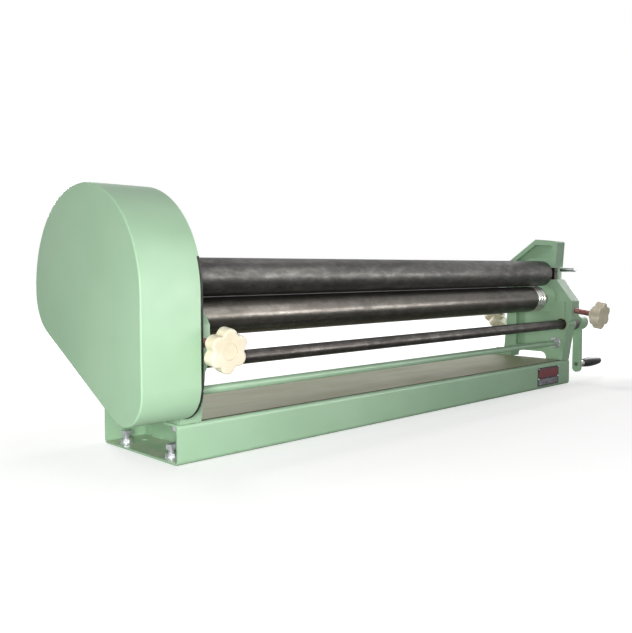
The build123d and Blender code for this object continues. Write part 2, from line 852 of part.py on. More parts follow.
with BuildPart() as crank_collar:
    crank_collar_start = outer_face + crank_bush_flange + side_clearance
    crank_collar_end = crank_collar_start + crank_collar_width
    ring(crank_axis, crank_collar_start, crank_collar_end, crank_collar_diameter, crank_fit)
    chamfer(crank_collar.faces().sort_by(Axis.X)[-1].edges().sort_by(SortBy.RADIUS)[-1], roll_chamfer)
save(crank_collar, "crank_collar")

with BuildPart() as crank_arm:
    with BuildSketch(shaft_plane(crank_arm_start, crank_axis)):
        arm_foot = crank_throw + crank_arm_tail - crank_arm_width / 2
        Circle(crank_hub_diameter / 2)
        with Locations((0, -arm_foot / 2)):
            Rectangle(crank_arm_width, arm_foot)
        with Locations((0, -arm_foot)):
            Circle(crank_arm_width / 2)
    extrude(amount=crank_arm_thickness)
    fillet(crank_arm.edges().filter_by(Axis.X, reverse=True), crank_arm_edge)
    rod(crank_axis, crank_hub_start, crank_hub_end, crank_hub_diameter)
    rod(crank_axis, crank_hub_start, crank_hub_end, crank_fit, Mode.SUBTRACT)
    pin(cross_pin_plane, crank_hub_diameter, cross_pin_hole, Mode.SUBTRACT)
    rod(grip_axis, crank_arm_start, crank_arm_end, spindle_diameter + 2 * fit_clearance, Mode.SUBTRACT)
save(crank_arm, "crank_arm")

with BuildPart() as crank_cross_pin:
    pin(cross_pin_plane, crank_hub_diameter, crank_cross_pin_diameter)
save(crank_cross_pin, "crank_cross_pin")

# Spindle fixed in the arm, and the grip that turns on it
spindle_collar_end = grip_start - side_clearance
spindle_head_start = grip_start + grip_length + side_clearance
with BuildPart() as grip_spindle:
    turned(
        [
            (crank_arm_start, 0),
            (crank_arm_start, spindle_diameter / 2),
            (crank_arm_end, spindle_diameter / 2),
            (crank_arm_end, spindle_collar_diameter / 2),
            (spindle_collar_end, spindle_collar_diameter / 2),
            (spindle_collar_end, spindle_diameter / 2),
            (spindle_head_start, spindle_diameter / 2),
            (spindle_head_start, spindle_head_diameter / 2),
            (spindle_head_start + spindle_head_thickness, spindle_head_diameter / 2),
            (spindle_head_start + spindle_head_thickness, 0),
        ],
        grip_axis,
    )
save(grip_spindle, "grip_spindle")

with BuildPart() as crank_grip:
    grip_bore = spindle_diameter / 2 + running_clearance
    grip_end = grip_start + grip_length
    grip_plane = Plane(origin=(0, *grip_axis), x_dir=(1, 0, 0), z_dir=(0, -1, 0))
    with BuildSketch(grip_plane):
        with BuildLine():
            Polyline(
                (grip_start, grip_end_diameter / 2),
                (grip_start, grip_bore),
                (grip_end, grip_bore),
                (grip_end, grip_end_diameter / 2),
            )
            ThreePointArc(
                (grip_end, grip_end_diameter / 2),
                ((grip_start + grip_end) / 2, grip_diameter / 2),
                (grip_start, grip_end_diameter / 2),
            )
        make_face()
    revolve(axis=Axis((0, *grip_axis), (1, 0, 0)))
save(crank_grip, "crank_grip")

# Countershaft: a stud in the left frame with the drive gear and its pinion
counter_bush_diameter = counter_stud_diameter + 2 * counter_bush_wall
counter_bore = counter_stud_diameter + 2 * running_clearance
counter_nut_start = counter_hub_end + side_clearance
counter_nut_end = counter_nut_start + counter_flange + counter_nut_height
with BuildPart() as counter_stud:
    rod(counter_axis, -counter_nut_end - counter_stud_tail, stud_end, counter_stud_diameter)
save(counter_stud, "counter_stud")

with BuildPart() as counter_spacer:
    spacer_end = counter_pinion_start - side_clearance
    ring(counter_axis, -spacer_end, -outer_face, counter_spacer_diameter, counter_bore)
save(counter_spacer, "counter_spacer")

with BuildPart() as counter_nut:
    flange_end = counter_nut_start + counter_flange
    ring(counter_axis, -flange_end, -counter_nut_start, counter_flange_diameter, counter_bore)
    hexagon(shaft_plane(-counter_nut_end, counter_axis), counter_nut_height, counter_nut_flats, counter_bore)
save(counter_nut, "counter_nut")

with BuildPart() as counter_bush:
    ring(counter_axis, -counter_hub_end, -counter_pinion_start, counter_bush_diameter, counter_bore)
save(counter_bush, "counter_bush")

top_phase = heading(top_axis, lower_axis)
with BuildPart() as counter_pinion:
    counter_angle = heading(top_axis, counter_axis)
    counter_phase = mesh_phase(roll_gear_teeth, top_phase, counter_pinion_teeth, counter_angle)
    pinion_span = (-counter_pinion_end, -counter_pinion_start)
    gear_teeth(counter_axis, *pinion_span, counter_pinion_teeth, counter_phase)
    rod(counter_axis, -counter_hub_end, -counter_pinion_end, counter_hub_diameter)
    rod(
        counter_axis,
        -counter_hub_end,
        -counter_pinion_start,
        counter_bush_diameter + 2 * fit_clearance,
        Mode.SUBTRACT,
    )
save(counter_pinion, "counter_pinion")

with BuildPart() as drive_gear:
    gear_teeth(counter_axis, -drive_gear_end, -drive_gear_start, drive_gear_teeth, drive_phase)
    drive_gear_root = pitch_radius(drive_gear_teeth) - tooth_root_modules * gear_module
    rim_inside = 2 * (drive_gear_root - drive_gear_rim)
    recess = (drive_gear_width - drive_gear_web) / 2
    for recess_start in (-drive_gear_end, -drive_gear_start - recess):
        with BuildSketch(shaft_plane(recess_start, counter_axis)):
            Circle(rim_inside / 2)
            Circle(drive_gear_hub_diameter / 2, mode=Mode.SUBTRACT)
        extrude(amount=recess, mode=Mode.SUBTRACT)
    with BuildSketch(shaft_plane(-drive_gear_end, counter_axis)):
        with PolarLocations((rim_inside + drive_gear_hub_diameter) / 4, drive_gear_windows):
            Circle(drive_gear_window_diameter / 2)
        Circle(counter_hub_diameter / 2 + fit_clearance)
    extrude(amount=drive_gear_width, mode=Mode.SUBTRACT)
save(drive_gear, "drive_gear")

# Top roll's drive: a slotted hub in the left frame takes the roll's ball and cross pin
hub_inner = inner_face - hub_proud
hub_outer = counter_pinion_end + hub_end_margin
ball_x = -(inner_face + ball_inset)
with BuildPart() as top_left_bush:
    hub_bore = hub_diameter + 2 * running_clearance
    ring(top_axis, -outer_face, -inner_face, hub_bush_diameter, hub_bore)
save(top_left_bush, "top_left_bush")

with BuildPart() as top_drive_hub:
    rod(top_axis, -outer_face - gear_side_gap, -hub_inner, hub_diameter)
    rod(top_axis, -hub_outer, -outer_face, hub_seat_diameter)
    socket_diameter = ball_diameter + 2 * side_clearance
    rod(top_axis, -hub_inner - socket_depth, -hub_inner, socket_diameter, Mode.SUBTRACT)
    slot_end = -ball_x + drive_pin_diameter / 2 + drive_pin_swing_room
    with BuildSketch(Plane.XY.offset(top_axis[1] - hub_diameter)):
        with Locations((-(slot_end + hub_inner) / 2, top_axis[0])):
            Rectangle(slot_end - hub_inner, drive_pin_diameter + 2 * drive_pin_side_room)
    extrude(amount=2 * hub_diameter, mode=Mode.SUBTRACT)
save(top_drive_hub, "top_drive_hub")

with BuildPart() as top_roll_gear:
    top_gear_span = (-counter_pinion_end, -lower_gear_start)
    gear_teeth(top_axis, *top_gear_span, roll_gear_teeth, top_phase)
    rod(top_axis, *top_gear_span, hub_seat_diameter + 2 * fit_clearance, Mode.SUBTRACT)
save(top_roll_gear, "top_roll_gear")

drive_pin_plane = Plane(origin=(ball_x, top_axis[0], top_axis[1] - drive_pin_length / 2))
open_bearing_start = inner_face + side_clearance
open_bearing_end = open_bearing_start + open_bearing_width
end_washer_start = open_bearing_end + side_clearance
with BuildPart() as top_roll:
    turned(
        [
            (ball_x, 0),
            (ball_x, ball_neck_diameter / 2),
            (-roll_left_end, ball_neck_diameter / 2),
            (-roll_left_end, roll_diameter / 2 - roll_chamfer),
            (-roll_left_end + roll_chamfer, roll_diameter / 2),
            (top_roll_right_end - roll_chamfer, roll_diameter / 2),
            (top_roll_right_end, roll_diameter / 2 - roll_chamfer),
            (top_roll_right_end, neck_diameter / 2),
            (inner_face - stop_room, neck_diameter / 2),
            (inner_face - stop_room, journal_diameter / 2),
            (end_washer_start, journal_diameter / 2),
            (end_washer_start, 0),
        ],
        top_axis,
    )
    with Locations((ball_x, *top_axis)):
        Sphere(ball_diameter / 2)
    pin(drive_pin_plane, drive_pin_length, drive_pin_diameter + 2 * fit_clearance, Mode.SUBTRACT)
save(top_roll, "top_roll")

with BuildPart() as top_drive_pin:
    pin(drive_pin_plane, drive_pin_length, drive_pin_diameter)
save(top_drive_pin, "top_drive_pin")

with BuildPart() as top_roll_washer:
    rod(top_axis, end_washer_start, end_washer_start + end_washer_thickness, end_washer_diameter)
save(top_roll_washer, "top_roll_washer")

with BuildPart() as top_right_bearing:
    half_open = open_slot_height / 2 - slide_clearance
    with BuildSketch(shaft_plane(open_bearing_start, top_axis)):
        Circle(half_open)
        with Locations((-open_bearing_front / 2, 0)):
            Rectangle(open_bearing_front, 2 * half_open)
        Circle(journal_bore / 2, mode=Mode.SUBTRACT)
    extrude(amount=open_bearing_width)
save(top_right_bearing, "top_right_bearing")

# Release cam on an upright pin in the mouth of the right frame, and its handle
handle_z = top_axis[1] + cam_handle_rise
handle_plane = Plane(origin=(cam_x, cam_y - cam_handle_start, handle_z), z_dir=(0, -1, 0))
with BuildPart() as latch_cam:
    cam_bottom = slot_bottom + side_clearance
    cam_height = open_slot_height - 2 * side_clearance
    pin(Plane(origin=(cam_x - cam_throw, cam_y, cam_bottom)), cam_height, cam_diameter)
    cam_bore = cam_pin_diameter + 2 * running_clearance
    pin(Plane(origin=(cam_x, cam_y, cam_bottom)), cam_height, cam_bore, Mode.SUBTRACT)
    pin(handle_plane, cam_diameter, cam_handle_diameter + 2 * fit_clearance, Mode.SUBTRACT)
save(latch_cam, "latch_cam")

with BuildPart() as latch_handle:
    pin(handle_plane, cam_handle_length, cam_handle_diameter)
    fillet(latch_handle.faces().sort_by(Axis.Y)[0].edges(), cam_handle_dome)
save(latch_handle, "latch_handle")

with BuildPart() as latch_pin:
    pin(cam_pin_plane, cam_pin_length, cam_pin_diameter)
save(latch_pin, "latch_pin")


def grooved_roll(axis, left_journal, right_journal):
    """Lower or rear roll: a long barrel with necks, journals and wire grooves at its right end."""
    neck_end = inner_face + frame_wall
    turned(
        [
            (-left_journal, 0),
            (-left_journal, journal_diameter / 2),
            (-neck_end, journal_diameter / 2),
            (-neck_end, neck_diameter / 2),
            (-roll_left_end, neck_diameter / 2),
            (-roll_left_end, roll_diameter / 2 - roll_chamfer),
            (-roll_left_end + roll_chamfer, roll_diameter / 2),
            (lower_roll_right_end - roll_chamfer, roll_diameter / 2),
            (lower_roll_right_end, roll_diameter / 2 - roll_chamfer),
            (lower_roll_right_end, neck_diameter / 2),
            (neck_end, neck_diameter / 2),
            (neck_end, journal_diameter / 2),
            (right_journal, journal_diameter / 2),
            (right_journal, 0),
        ],
        axis,
    )
    side_plane = Plane(origin=(0, *axis), x_dir=(1, 0, 0), z_dir=(0, -1, 0))
    with BuildSketch(side_plane) as grooves:
        for groove in range(wire_grooves):
            groove_x = lower_roll_right_end - wire_groove_margin - groove * wire_groove_pitch
            with Locations((groove_x, roll_diameter / 2)):
                Circle(wire_groove_radius)
    revolve(grooves.sketch, axis=Axis((0, *axis), (1, 0, 0)), mode=Mode.SUBTRACT)


# Lower roll with its gear at the left and its collar at the right
with BuildPart() as lower_roll:
    grooved_roll(lower_axis, lower_gear_end, collar_end)
    screw_hole = gear_screw_diameter + 2 * fit_clearance
    rod(lower_axis, -lower_gear_end, gear_screw_bite - lower_gear_end, screw_hole, Mode.SUBTRACT)
save(lower_roll, "lower_roll")

with BuildPart() as lower_roll_gear:
    lower_gear_span = (-lower_gear_end, -lower_gear_start)
    lower_phase = mesh_phase(roll_gear_teeth, top_phase, roll_gear_teeth, top_phase)
    gear_teeth(lower_axis, *lower_gear_span, roll_gear_teeth, lower_phase)
    rod(lower_axis, *lower_gear_span, journal_fit, Mode.SUBTRACT)
save(lower_roll_gear, "lower_roll_gear")

with BuildPart() as lower_gear_screw:
    flange_end = lower_gear_end + gear_screw_flange
    head_end = flange_end + gear_screw_head
    rod(lower_axis, -lower_gear_end, gear_screw_bite - lower_gear_end, gear_screw_diameter)
    rod(lower_axis, -flange_end, -lower_gear_end, gear_screw_flange_diameter)
    hexagon(shaft_plane(-head_end, lower_axis), gear_screw_head, gear_screw_flats)
save(lower_gear_screw, "lower_gear_screw")

with BuildPart() as lower_roll_collar:
    ring(lower_axis, collar_start, collar_end, collar_diameter, journal_fit)
save(lower_roll_collar, "lower_roll_collar")

# Rear roll, free to turn, with a collar at each end
with BuildPart() as rear_roll:
    grooved_roll(rear_axis, collar_end, collar_end)
save(rear_roll, "rear_roll")

with BuildPart() as rear_roll_collars:
    for side in (-1, 1):
        ring(rear_axis, *span(side, collar_start, collar_end), collar_diameter, journal_fit)
save(rear_roll_collars, "rear_roll_collars")

# Bushes in the sliding blocks
for name, axis in (("lower_bushes", lower_axis), ("rear_bushes", rear_axis)):
    with BuildPart() as block_bushes:
        for side in (-1, 1):
            ring(axis, *span(side, block_inner, block_outer), bush_diameter, journal_bore)
    save(block_bushes, name)


def knob(plane):
    """Lobed hand knob with a short hub, bored for its screw; the plane is the hub's inner end."""
    with BuildSketch(plane.offset(knob_hub_length)) as star:
        Circle(knob_waist_radius)
        with PolarLocations(knob_lobe_place, knob_lobes, start_angle=90):
            Circle(knob_lobe_radius)
        fillet(star.vertices(), knob_web_radius)
    extrude(star.sketch, amount=knob_thickness)
    rims = edges().filter_by(lambda edge: abs(edge.tangent_at(0.5).dot(plane.z_dir)) < 0.5)
    fillet(rims, knob_edge_radius)
    pin(plane, knob_hub_length, knob_hub_diameter)
    dish_plane = plane.offset(knob_hub_length + knob_thickness - knob_dish_depth)
    pin(dish_plane, knob_dish_depth, knob_dish_diameter, Mode.SUBTRACT)
    pin(plane, screw_in_knob, screw_diameter + 2 * fit_clearance, Mode.SUBTRACT)


# Blocks, wedges, screws and knobs at both ends
lug_distance = (nose_front - lug_front) / cos(radians(wedge_angle))
front_screw_tip = lug_distance - screw_seat
rear_screw_tip = rear_block_tail - screw_seat
for hand, side in (("left", -1), ("right", 1)):
    block_span = span(side, block_inner, block_outer)
    block_length = block_span[1] - block_span[0]
    screw_x = side * frame_middle

    with BuildPart() as lower_block:
        with BuildSketch(shaft_plane(block_span[0], lower_axis)):
            with Locations((0, (lower_block_above - lower_block_below) / 2)):
                Rectangle(lower_block_width, lower_block_above + lower_block_below)
            Circle(bush_seat / 2, mode=Mode.SUBTRACT)
        extrude(amount=block_length)
    save(lower_block, f"lower_block_{hand}")

    with BuildPart() as lower_wedge:
        with BuildSketch(Plane.YZ.offset(block_span[0])):
            closed_shape(
                (wedge_back, ramp_height(wedge_back)),
                (lug_back, ramp_height(lug_back)),
                (lug_back, wedge_top),
                (wedge_back, wedge_top),
            )
            closed_shape(
                (lug_back, lug_floor(lug_back)),
                (lug_front, lug_floor(lug_front)),
                (lug_front, lug_height(lug_front)),
                (lug_back, lug_height(lug_back)),
            )
        extrude(amount=block_length)
        pin(front_screw_plane(screw_x, front_screw_tip), 2 * screw_seat, screw_bore, Mode.SUBTRACT)
    save(lower_wedge, f"lower_wedge_{hand}")

    with BuildPart() as front_screw:
        front_length = front_knob_stand + screw_in_knob - front_screw_tip
        pin(front_screw_plane(screw_x, front_screw_tip), front_length, screw_diameter)
    save(front_screw, f"front_screw_{hand}")

    with BuildPart() as front_knob:
        knob(front_screw_plane(screw_x, front_knob_stand))
    save(front_knob, f"front_knob_{hand}")

    with BuildPart() as rear_block:
        with BuildSketch(rear_plane(block_span[0])):
            with Locations(((half_rear_block - rear_block_tail) / 2, 0)):
                Rectangle(half_rear_block + rear_block_tail, rear_block_width)
            Circle(bush_seat / 2, mode=Mode.SUBTRACT)
        extrude(amount=block_length)
        pin(rear_screw_plane(screw_x, rear_screw_tip), 2 * screw_seat, screw_bore, Mode.SUBTRACT)
    save(rear_block, f"rear_block_{hand}")

    with BuildPart() as rear_screw:
        rear_length = rear_knob_stand + screw_in_knob - rear_screw_tip
        pin(rear_screw_plane(screw_x, rear_screw_tip), rear_length, screw_diameter)
    save(rear_screw, f"rear_screw_{hand}")

    with BuildPart() as rear_knob:
        knob(rear_screw_plane(screw_x, rear_knob_stand))
    save(rear_knob, f"rear_knob_{hand}")


def cover_profile():
    """Side view of the gear cover."""
    normal_angle = cover_cut_angle - 90
    to_line = Vector(low_tangent[0] - cover_centre[0], low_tangent[1] - cover_centre[1])
    normal = Vector(cos(radians(normal_angle)), sin(radians(normal_angle)))
    slant = Vector(cos(radians(cover_cut_angle)), sin(radians(cover_cut_angle)))
    line_length = sqrt(cover_radius**2 - to_line.dot(normal) ** 2) - to_line.dot(slant)
    corner = polar(low_tangent, cover_cut_angle, line_length)
    with BuildLine() as wall:
        Line((cover_front, cover_low_z), (cover_front, cover_centre_z))
        ThreePointArc((cover_front, cover_centre_z), polar(cover_centre, 90, cover_radius), corner)
        Line(corner, low_tangent)
        low_middle = polar(cover_low_centre, (cover_cut_angle - 270) / 2, cover_low_radius)
        ThreePointArc(low_tangent, low_middle, (cover_front, cover_low_z))
    face = make_face(wall.edges())
    fillet(face.vertices().sort_by_distance((corner[0], corner[1], 0))[0], cover_corner_radius)


# Gear cover, open at the back, with a notch that clears the left rear knob
rim_hole = cover_screw_diameter + 2 * running_clearance
with BuildPart() as gear_cover:
    with BuildSketch(Plane.YZ.offset(-outer_face)):
        cover_profile()
    extrude(amount=-cover_depth)
    fillet(gear_cover.faces().sort_by(Axis.X)[0].edges(), cover_edge_radius)
    with BuildSketch(Plane.YZ.offset(-outer_face)):
        cover_profile()
        offset(amount=-cover_sheet)
    extrude(amount=cover_sheet - cover_depth, mode=Mode.SUBTRACT)
    notch_start = rear_face_distance
    notch_length = rear_knob_stand + knob_hub_length + knob_thickness - notch_start + cover_knob_room
    notch_plane = rear_screw_plane(-frame_middle, notch_start)
    pin(notch_plane, notch_length, 2 * (knob_radius + cover_knob_room), Mode.SUBTRACT)
    for place in bracket_places:
        pin(rim_screw_plane(place, place[2]), 2 * cover_sheet, rim_hole, Mode.SUBTRACT)
save(gear_cover, "gear_cover")

with BuildPart() as cover_brackets:
    for start, angle, reach, gap in bracket_places:
        along = (0, cos(radians(angle)), sin(radians(angle)))
        foot_plane = Plane(origin=(-outer_face, *start), x_dir=along, z_dir=(-1, 0, 0))
        with BuildSketch(foot_plane):
            with Locations((reach / 2, 0)):
                Rectangle(reach, bracket_width)
            with Locations((bracket_hole_inset, 0)):
                Circle(rim_hole / 2, mode=Mode.SUBTRACT)
        extrude(amount=bracket_thickness)
        with BuildSketch(foot_plane):
            with Locations((reach - bracket_thickness / 2, 0)):
                Rectangle(bracket_thickness, bracket_width)
        extrude(amount=bracket_leg)
    for place in bracket_places:
        pin(rim_screw_plane(place, place[2]), -bracket_thickness, rim_hole, Mode.SUBTRACT)
save(cover_brackets, "cover_brackets")

with BuildPart() as cover_screws:
    for place in bracket_places:
        spot = bracket_hole(place)
        head_end = bracket_outer + cover_screw_head
        rod(spot, -bracket_outer, cover_screw_bite - outer_face, cover_screw_diameter)
        hexagon(shaft_plane(-head_end, spot), cover_screw_head, cover_screw_flats)
        reach, gap = place[2:]
        tail = reach - bracket_thickness - cover_screw_tail
        seat = reach + gap + cover_sheet
        pin(rim_screw_plane(place, tail), seat - tail, cover_screw_diameter)
        hexagon(rim_screw_plane(place, seat), cover_screw_head, cover_screw_flats)
save(cover_screws, "cover_screws")
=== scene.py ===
import json
import math
import random

import bmesh
import bpy
from mathutils import Matrix, Vector


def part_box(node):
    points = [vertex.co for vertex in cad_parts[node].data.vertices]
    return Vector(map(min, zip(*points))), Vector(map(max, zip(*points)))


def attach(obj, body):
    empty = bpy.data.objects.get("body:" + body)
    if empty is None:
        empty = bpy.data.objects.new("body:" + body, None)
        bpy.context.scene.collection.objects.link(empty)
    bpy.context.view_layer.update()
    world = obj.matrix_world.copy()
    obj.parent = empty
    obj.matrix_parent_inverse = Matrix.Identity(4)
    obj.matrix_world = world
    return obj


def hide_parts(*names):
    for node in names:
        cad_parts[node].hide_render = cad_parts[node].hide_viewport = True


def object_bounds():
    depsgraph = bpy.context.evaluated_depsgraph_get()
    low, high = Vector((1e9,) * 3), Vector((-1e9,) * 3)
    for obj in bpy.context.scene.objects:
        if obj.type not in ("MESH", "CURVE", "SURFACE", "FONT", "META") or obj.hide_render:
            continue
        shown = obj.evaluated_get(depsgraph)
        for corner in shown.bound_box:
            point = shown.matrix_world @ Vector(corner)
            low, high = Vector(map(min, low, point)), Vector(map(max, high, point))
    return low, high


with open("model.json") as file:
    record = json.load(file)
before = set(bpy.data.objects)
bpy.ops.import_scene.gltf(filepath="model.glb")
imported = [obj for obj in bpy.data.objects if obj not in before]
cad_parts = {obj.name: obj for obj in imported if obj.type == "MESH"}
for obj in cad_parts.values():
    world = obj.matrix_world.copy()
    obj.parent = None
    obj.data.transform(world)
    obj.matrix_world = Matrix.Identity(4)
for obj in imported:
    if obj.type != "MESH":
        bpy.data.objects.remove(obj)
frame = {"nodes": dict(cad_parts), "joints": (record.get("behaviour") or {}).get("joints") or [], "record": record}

cad_low, cad_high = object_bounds()
rng = random.Random(7)

# Places on the solids, in metres
FRAME_THICKNESS = 0.045
FOOT_THICKNESS = 0.014
BOLT_FLATS = 0.019
BOLT_CORNER = BOLT_FLATS / 2 / math.cos(math.pi / 6)
GROOVES_START = 0.5645
base_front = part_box("base_channel")[0].y
cross_low, cross_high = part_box("base_cross_plates")
base_floor = cross_low.z
frame_low, frame_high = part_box("right_frame")
outer_face = frame_high.x
inner_face = outer_face - FRAME_THICKNESS
frame_middle = outer_face - FRAME_THICKNESS / 2
foot_top = frame_low.z + FOOT_THICKNESS


def srgb(red, green, blue):
    """Linear colour from 8-bit sRGB values."""
    def channel(value):
        value /= 255
        return value / 12.92 if value <= 0.04045 else ((value + 0.055) / 1.055) ** 2.4
    return (channel(red), channel(green), channel(blue), 1.0)


def socket(sockets, identifier):
    """Socket of a node by its identifier."""
    return next(s for s in sockets if s.identifier == identifier)


def empty_tree(owner):
    """Cleared node tree of a material or a world."""
    owner.use_nodes = True
    owner.node_tree.nodes.clear()
    return owner.node_tree


class Look:
    """One procedural material, with short calls for the nodes it is made of."""

    def __init__(self, name, metallic=0.0, specular=0.5):
        self.material = bpy.data.materials.new(name)
        self.tree = empty_tree(self.material)
        self.shader = self.tree.nodes.new("ShaderNodeBsdfPrincipled")
        self.shader.inputs["Metallic"].default_value = metallic
        self.shader.inputs["Specular IOR Level"].default_value = specular
        output = self.tree.nodes.new("ShaderNodeOutputMaterial")
        self.tree.links.new(self.shader.outputs["BSDF"], output.inputs["Surface"])
        self.coordinates = self.tree.nodes.new("ShaderNodeTexCoord").outputs["Object"]

    def put(self, value, target):
        """Link a socket to a target, or set a plain value on it."""
        if isinstance(value, bpy.types.NodeSocket):
            self.tree.links.new(value, target)
        else:
            target.default_value = value

    def noise(self, scale, detail=4.0, roughness=0.6, stretch=(1, 1, 1), distortion=0.0):
        """Fractal noise in the object's own frame, finer where stretch is larger."""
        mapping = self.tree.nodes.new("ShaderNodeMapping")
        mapping.inputs["Scale"].default_value = stretch
        self.tree.links.new(self.coordinates, mapping.inputs["Vector"])
        node = self.tree.nodes.new("ShaderNodeTexNoise")
        node.inputs["Scale"].default_value = scale
        node.inputs["Detail"].default_value = detail
        node.inputs["Roughness"].default_value = roughness
        node.inputs["Distortion"].default_value = distortion
        self.tree.links.new(mapping.outputs["Vector"], node.inputs["Vector"])
        return node.outputs["Fac"]

    def part_along(self, vector, axis):
        """Part of a vector along one axis."""
        node = self.tree.nodes.new("ShaderNodeSeparateXYZ")
        self.tree.links.new(vector, node.inputs["Vector"])
        return node.outputs[axis]

    def along(self, axis):
        """Coordinate along one axis of the object's frame."""
        return self.part_along(self.coordinates, axis)

    def facing(self, axis):
        """How far the surface faces along one axis."""
        geometry = self.tree.nodes.new("ShaderNodeNewGeometry")
        return self.part_along(geometry.outputs["Normal"], axis)

    def remap(self, value, source, target=(0.0, 1.0)):
        """Value carried from one range to another, clamped."""
        node = self.tree.nodes.new("ShaderNodeMapRange")
        self.put(value, node.inputs["Value"])
        node.inputs["From Min"].default_value = source[0]
        node.inputs["From Max"].default_value = source[1]
        node.inputs["To Min"].default_value = target[0]
        node.inputs["To Max"].default_value = target[1]
        return node.outputs["Result"]

    def maths(self, operation, first, second):
        """One sum of two values."""
        node = self.tree.nodes.new("ShaderNodeMath")
        node.operation = operation
        self.put(first, node.inputs[0])
        self.put(second, node.inputs[1])
        return node.outputs["Value"]

    def times(self, first, second):
        """Product of two values."""
        return self.maths("MULTIPLY", first, second)

    def less(self, first, second):
        """First value less the second."""
        return self.maths("SUBTRACT", first, second)

    def mix(self, factor, first, second):
        """Colour between two colours."""
        node = self.tree.nodes.new("ShaderNodeMix")
        node.data_type = "RGBA"
        self.put(factor, socket(node.inputs, "Factor_Float"))
        self.put(first, socket(node.inputs, "A_Color"))
        self.put(second, socket(node.inputs, "B_Color"))
        return socket(node.outputs, "Result_Color")

    def edges(self, radius):
        """Mask that is 1 along sharp edges, from a bevelled normal."""
        bevel = self.tree.nodes.new("ShaderNodeBevel")
        bevel.samples = 4
        bevel.inputs["Radius"].default_value = radius
        geometry = self.tree.nodes.new("ShaderNodeNewGeometry")
        dot = self.tree.nodes.new("ShaderNodeVectorMath")
        dot.operation = "DOT_PRODUCT"
        self.tree.links.new(bevel.outputs["Normal"], dot.inputs[0])
        self.tree.links.new(geometry.outputs["Normal"], dot.inputs[1])
        return self.remap(dot.outputs["Value"], (0.98, 0.8))

    def crevices(self, distance):
        """Mask that is 1 in inner corners, from ambient occlusion, which places painted shade there."""
        node = self.tree.nodes.new("ShaderNodeAmbientOcclusion")
        node.samples = 6
        node.inputs["Distance"].default_value = distance
        return self.remap(node.outputs["AO"], (0.75, 0.25))

    def colour(self, value):
        """Give the shader its colour."""
        self.put(value, self.shader.inputs["Base Color"])

    def rough(self, value):
        """Give the shader its roughness."""
        self.put(value, self.shader.inputs["Roughness"])

    def bump(self, *layers):
        """Stack of bumps, each (height, strength, distance in metres)."""
        normal = None
        for height, strength, distance in layers:
            node = self.tree.nodes.new("ShaderNodeBump")
            node.inputs["Strength"].default_value = strength
            node.inputs["Distance"].default_value = distance
            self.tree.links.new(height, node.inputs["Height"])
            if normal is not None:
                self.tree.links.new(normal, node.inputs["Normal"])
            normal = node.outputs["Normal"]
        self.tree.links.new(normal, self.shader.inputs["Normal"])


# Looks
CREVICE_REACH = 0.012
FINE_RELIEF = 0.0003


def floor_dust(look):
    """Mask of the dust that lies in patches on the base's inner floor."""
    low = look.remap(look.along("Z"), (base_floor + 0.0012, base_floor + 0.0004))
    level = look.remap(look.facing("Z"), (0.6, 0.9))
    patches = look.remap(look.noise(30.0, detail=5.0, roughness=0.72), (0.4, 0.62), (0.05, 0.8))
    return look.times(look.times(low, level), patches)


def enamel(name, pale, deep, cast=False, dusty=False):
    """Green enamel: smooth on sheet, with a cast skin under it on castings, dusty inside the base, with a painted
    highlight along its edges and soiling with painted shade in its inner corners.
    """
    look = Look(name, specular=0.25)
    cloud = look.remap(look.noise(5.0, detail=3.0, roughness=0.55), (0.35, 0.65))
    paint = look.mix(cloud, pale, deep)
    # Painted highlight: a lighter line along the edges, stronger on castings than on sheet.
    edge_lightening = look.times(look.edges(0.0022), 0.4 if cast else 0.18)
    paint = look.mix(edge_lightening, paint, srgb(205, 228, 203))
    if dusty:
        paint = look.mix(floor_dust(look), paint, srgb(210, 208, 184))
    # Soiling and painted shade in the inner corners, placed by ambient occlusion, in patches.
    dirt_and_shade_patches = look.remap(look.noise(60.0), (0.45, 0.75), (0.15, 0.6))
    dirt_and_corner_shade = look.times(look.crevices(CREVICE_REACH), dirt_and_shade_patches)
    look.colour(look.mix(dirt_and_corner_shade, paint, srgb(74, 84, 62)))
    look.rough(look.remap(look.noise(28.0), (0.3, 0.7), (0.30, 0.44)))
    skin = look.noise(420.0, detail=2.0, roughness=0.5)
    ripple = look.noise(120.0 if cast else 24.0, detail=3.0, roughness=0.55)
    look.bump((ripple, 0.28 if cast else 0.10, 0.0012), (skin, 0.06, FINE_RELIEF))
    return look.material


def oiled_steel(name, dark, light, gloss, bright_from=None):
    """Dark rolled steel with an oil film and bare flecks, bright where the right end has been turned."""
    look = Look(name, metallic=0.8, specular=0.25)
    oil = look.noise(7.0, detail=5.0, stretch=(0.5, 1.6, 1.6), distortion=0.5)
    patches = look.remap(oil, (0.36, 0.66))
    tone = look.mix(patches, dark, light)
    stains = look.noise(48.0, detail=6.0, roughness=0.72, stretch=(0.5, 1.2, 1.2))
    mottle = look.remap(stains, (0.45, 0.72), (0.0, 0.4))
    tone = look.mix(mottle, tone, srgb(116, 113, 109))
    flecks = look.remap(look.noise(120.0, roughness=0.7), (0.6, 0.78), (0.0, 0.24))
    tone = look.mix(flecks, tone, srgb(140, 137, 133))
    shine = look.remap(patches, (0.0, 1.0), (gloss[1], gloss[0]))
    shine = look.less(shine, look.times(mottle, 0.12))
    if bright_from is not None:
        turned = look.remap(look.along("X"), (bright_from, bright_from + 0.0006))
        tone = look.mix(turned, tone, srgb(206, 206, 202))
        shine = look.less(shine, look.times(turned, 0.12))
    look.colour(tone)
    look.rough(shine)
    grinding = look.noise(60.0, detail=3.0, stretch=(14.0, 0.5, 0.5))
    dents = look.noise(70.0)
    look.bump((dents, 0.10, 0.0008), (grinding, 0.07, FINE_RELIEF))
    return look.material


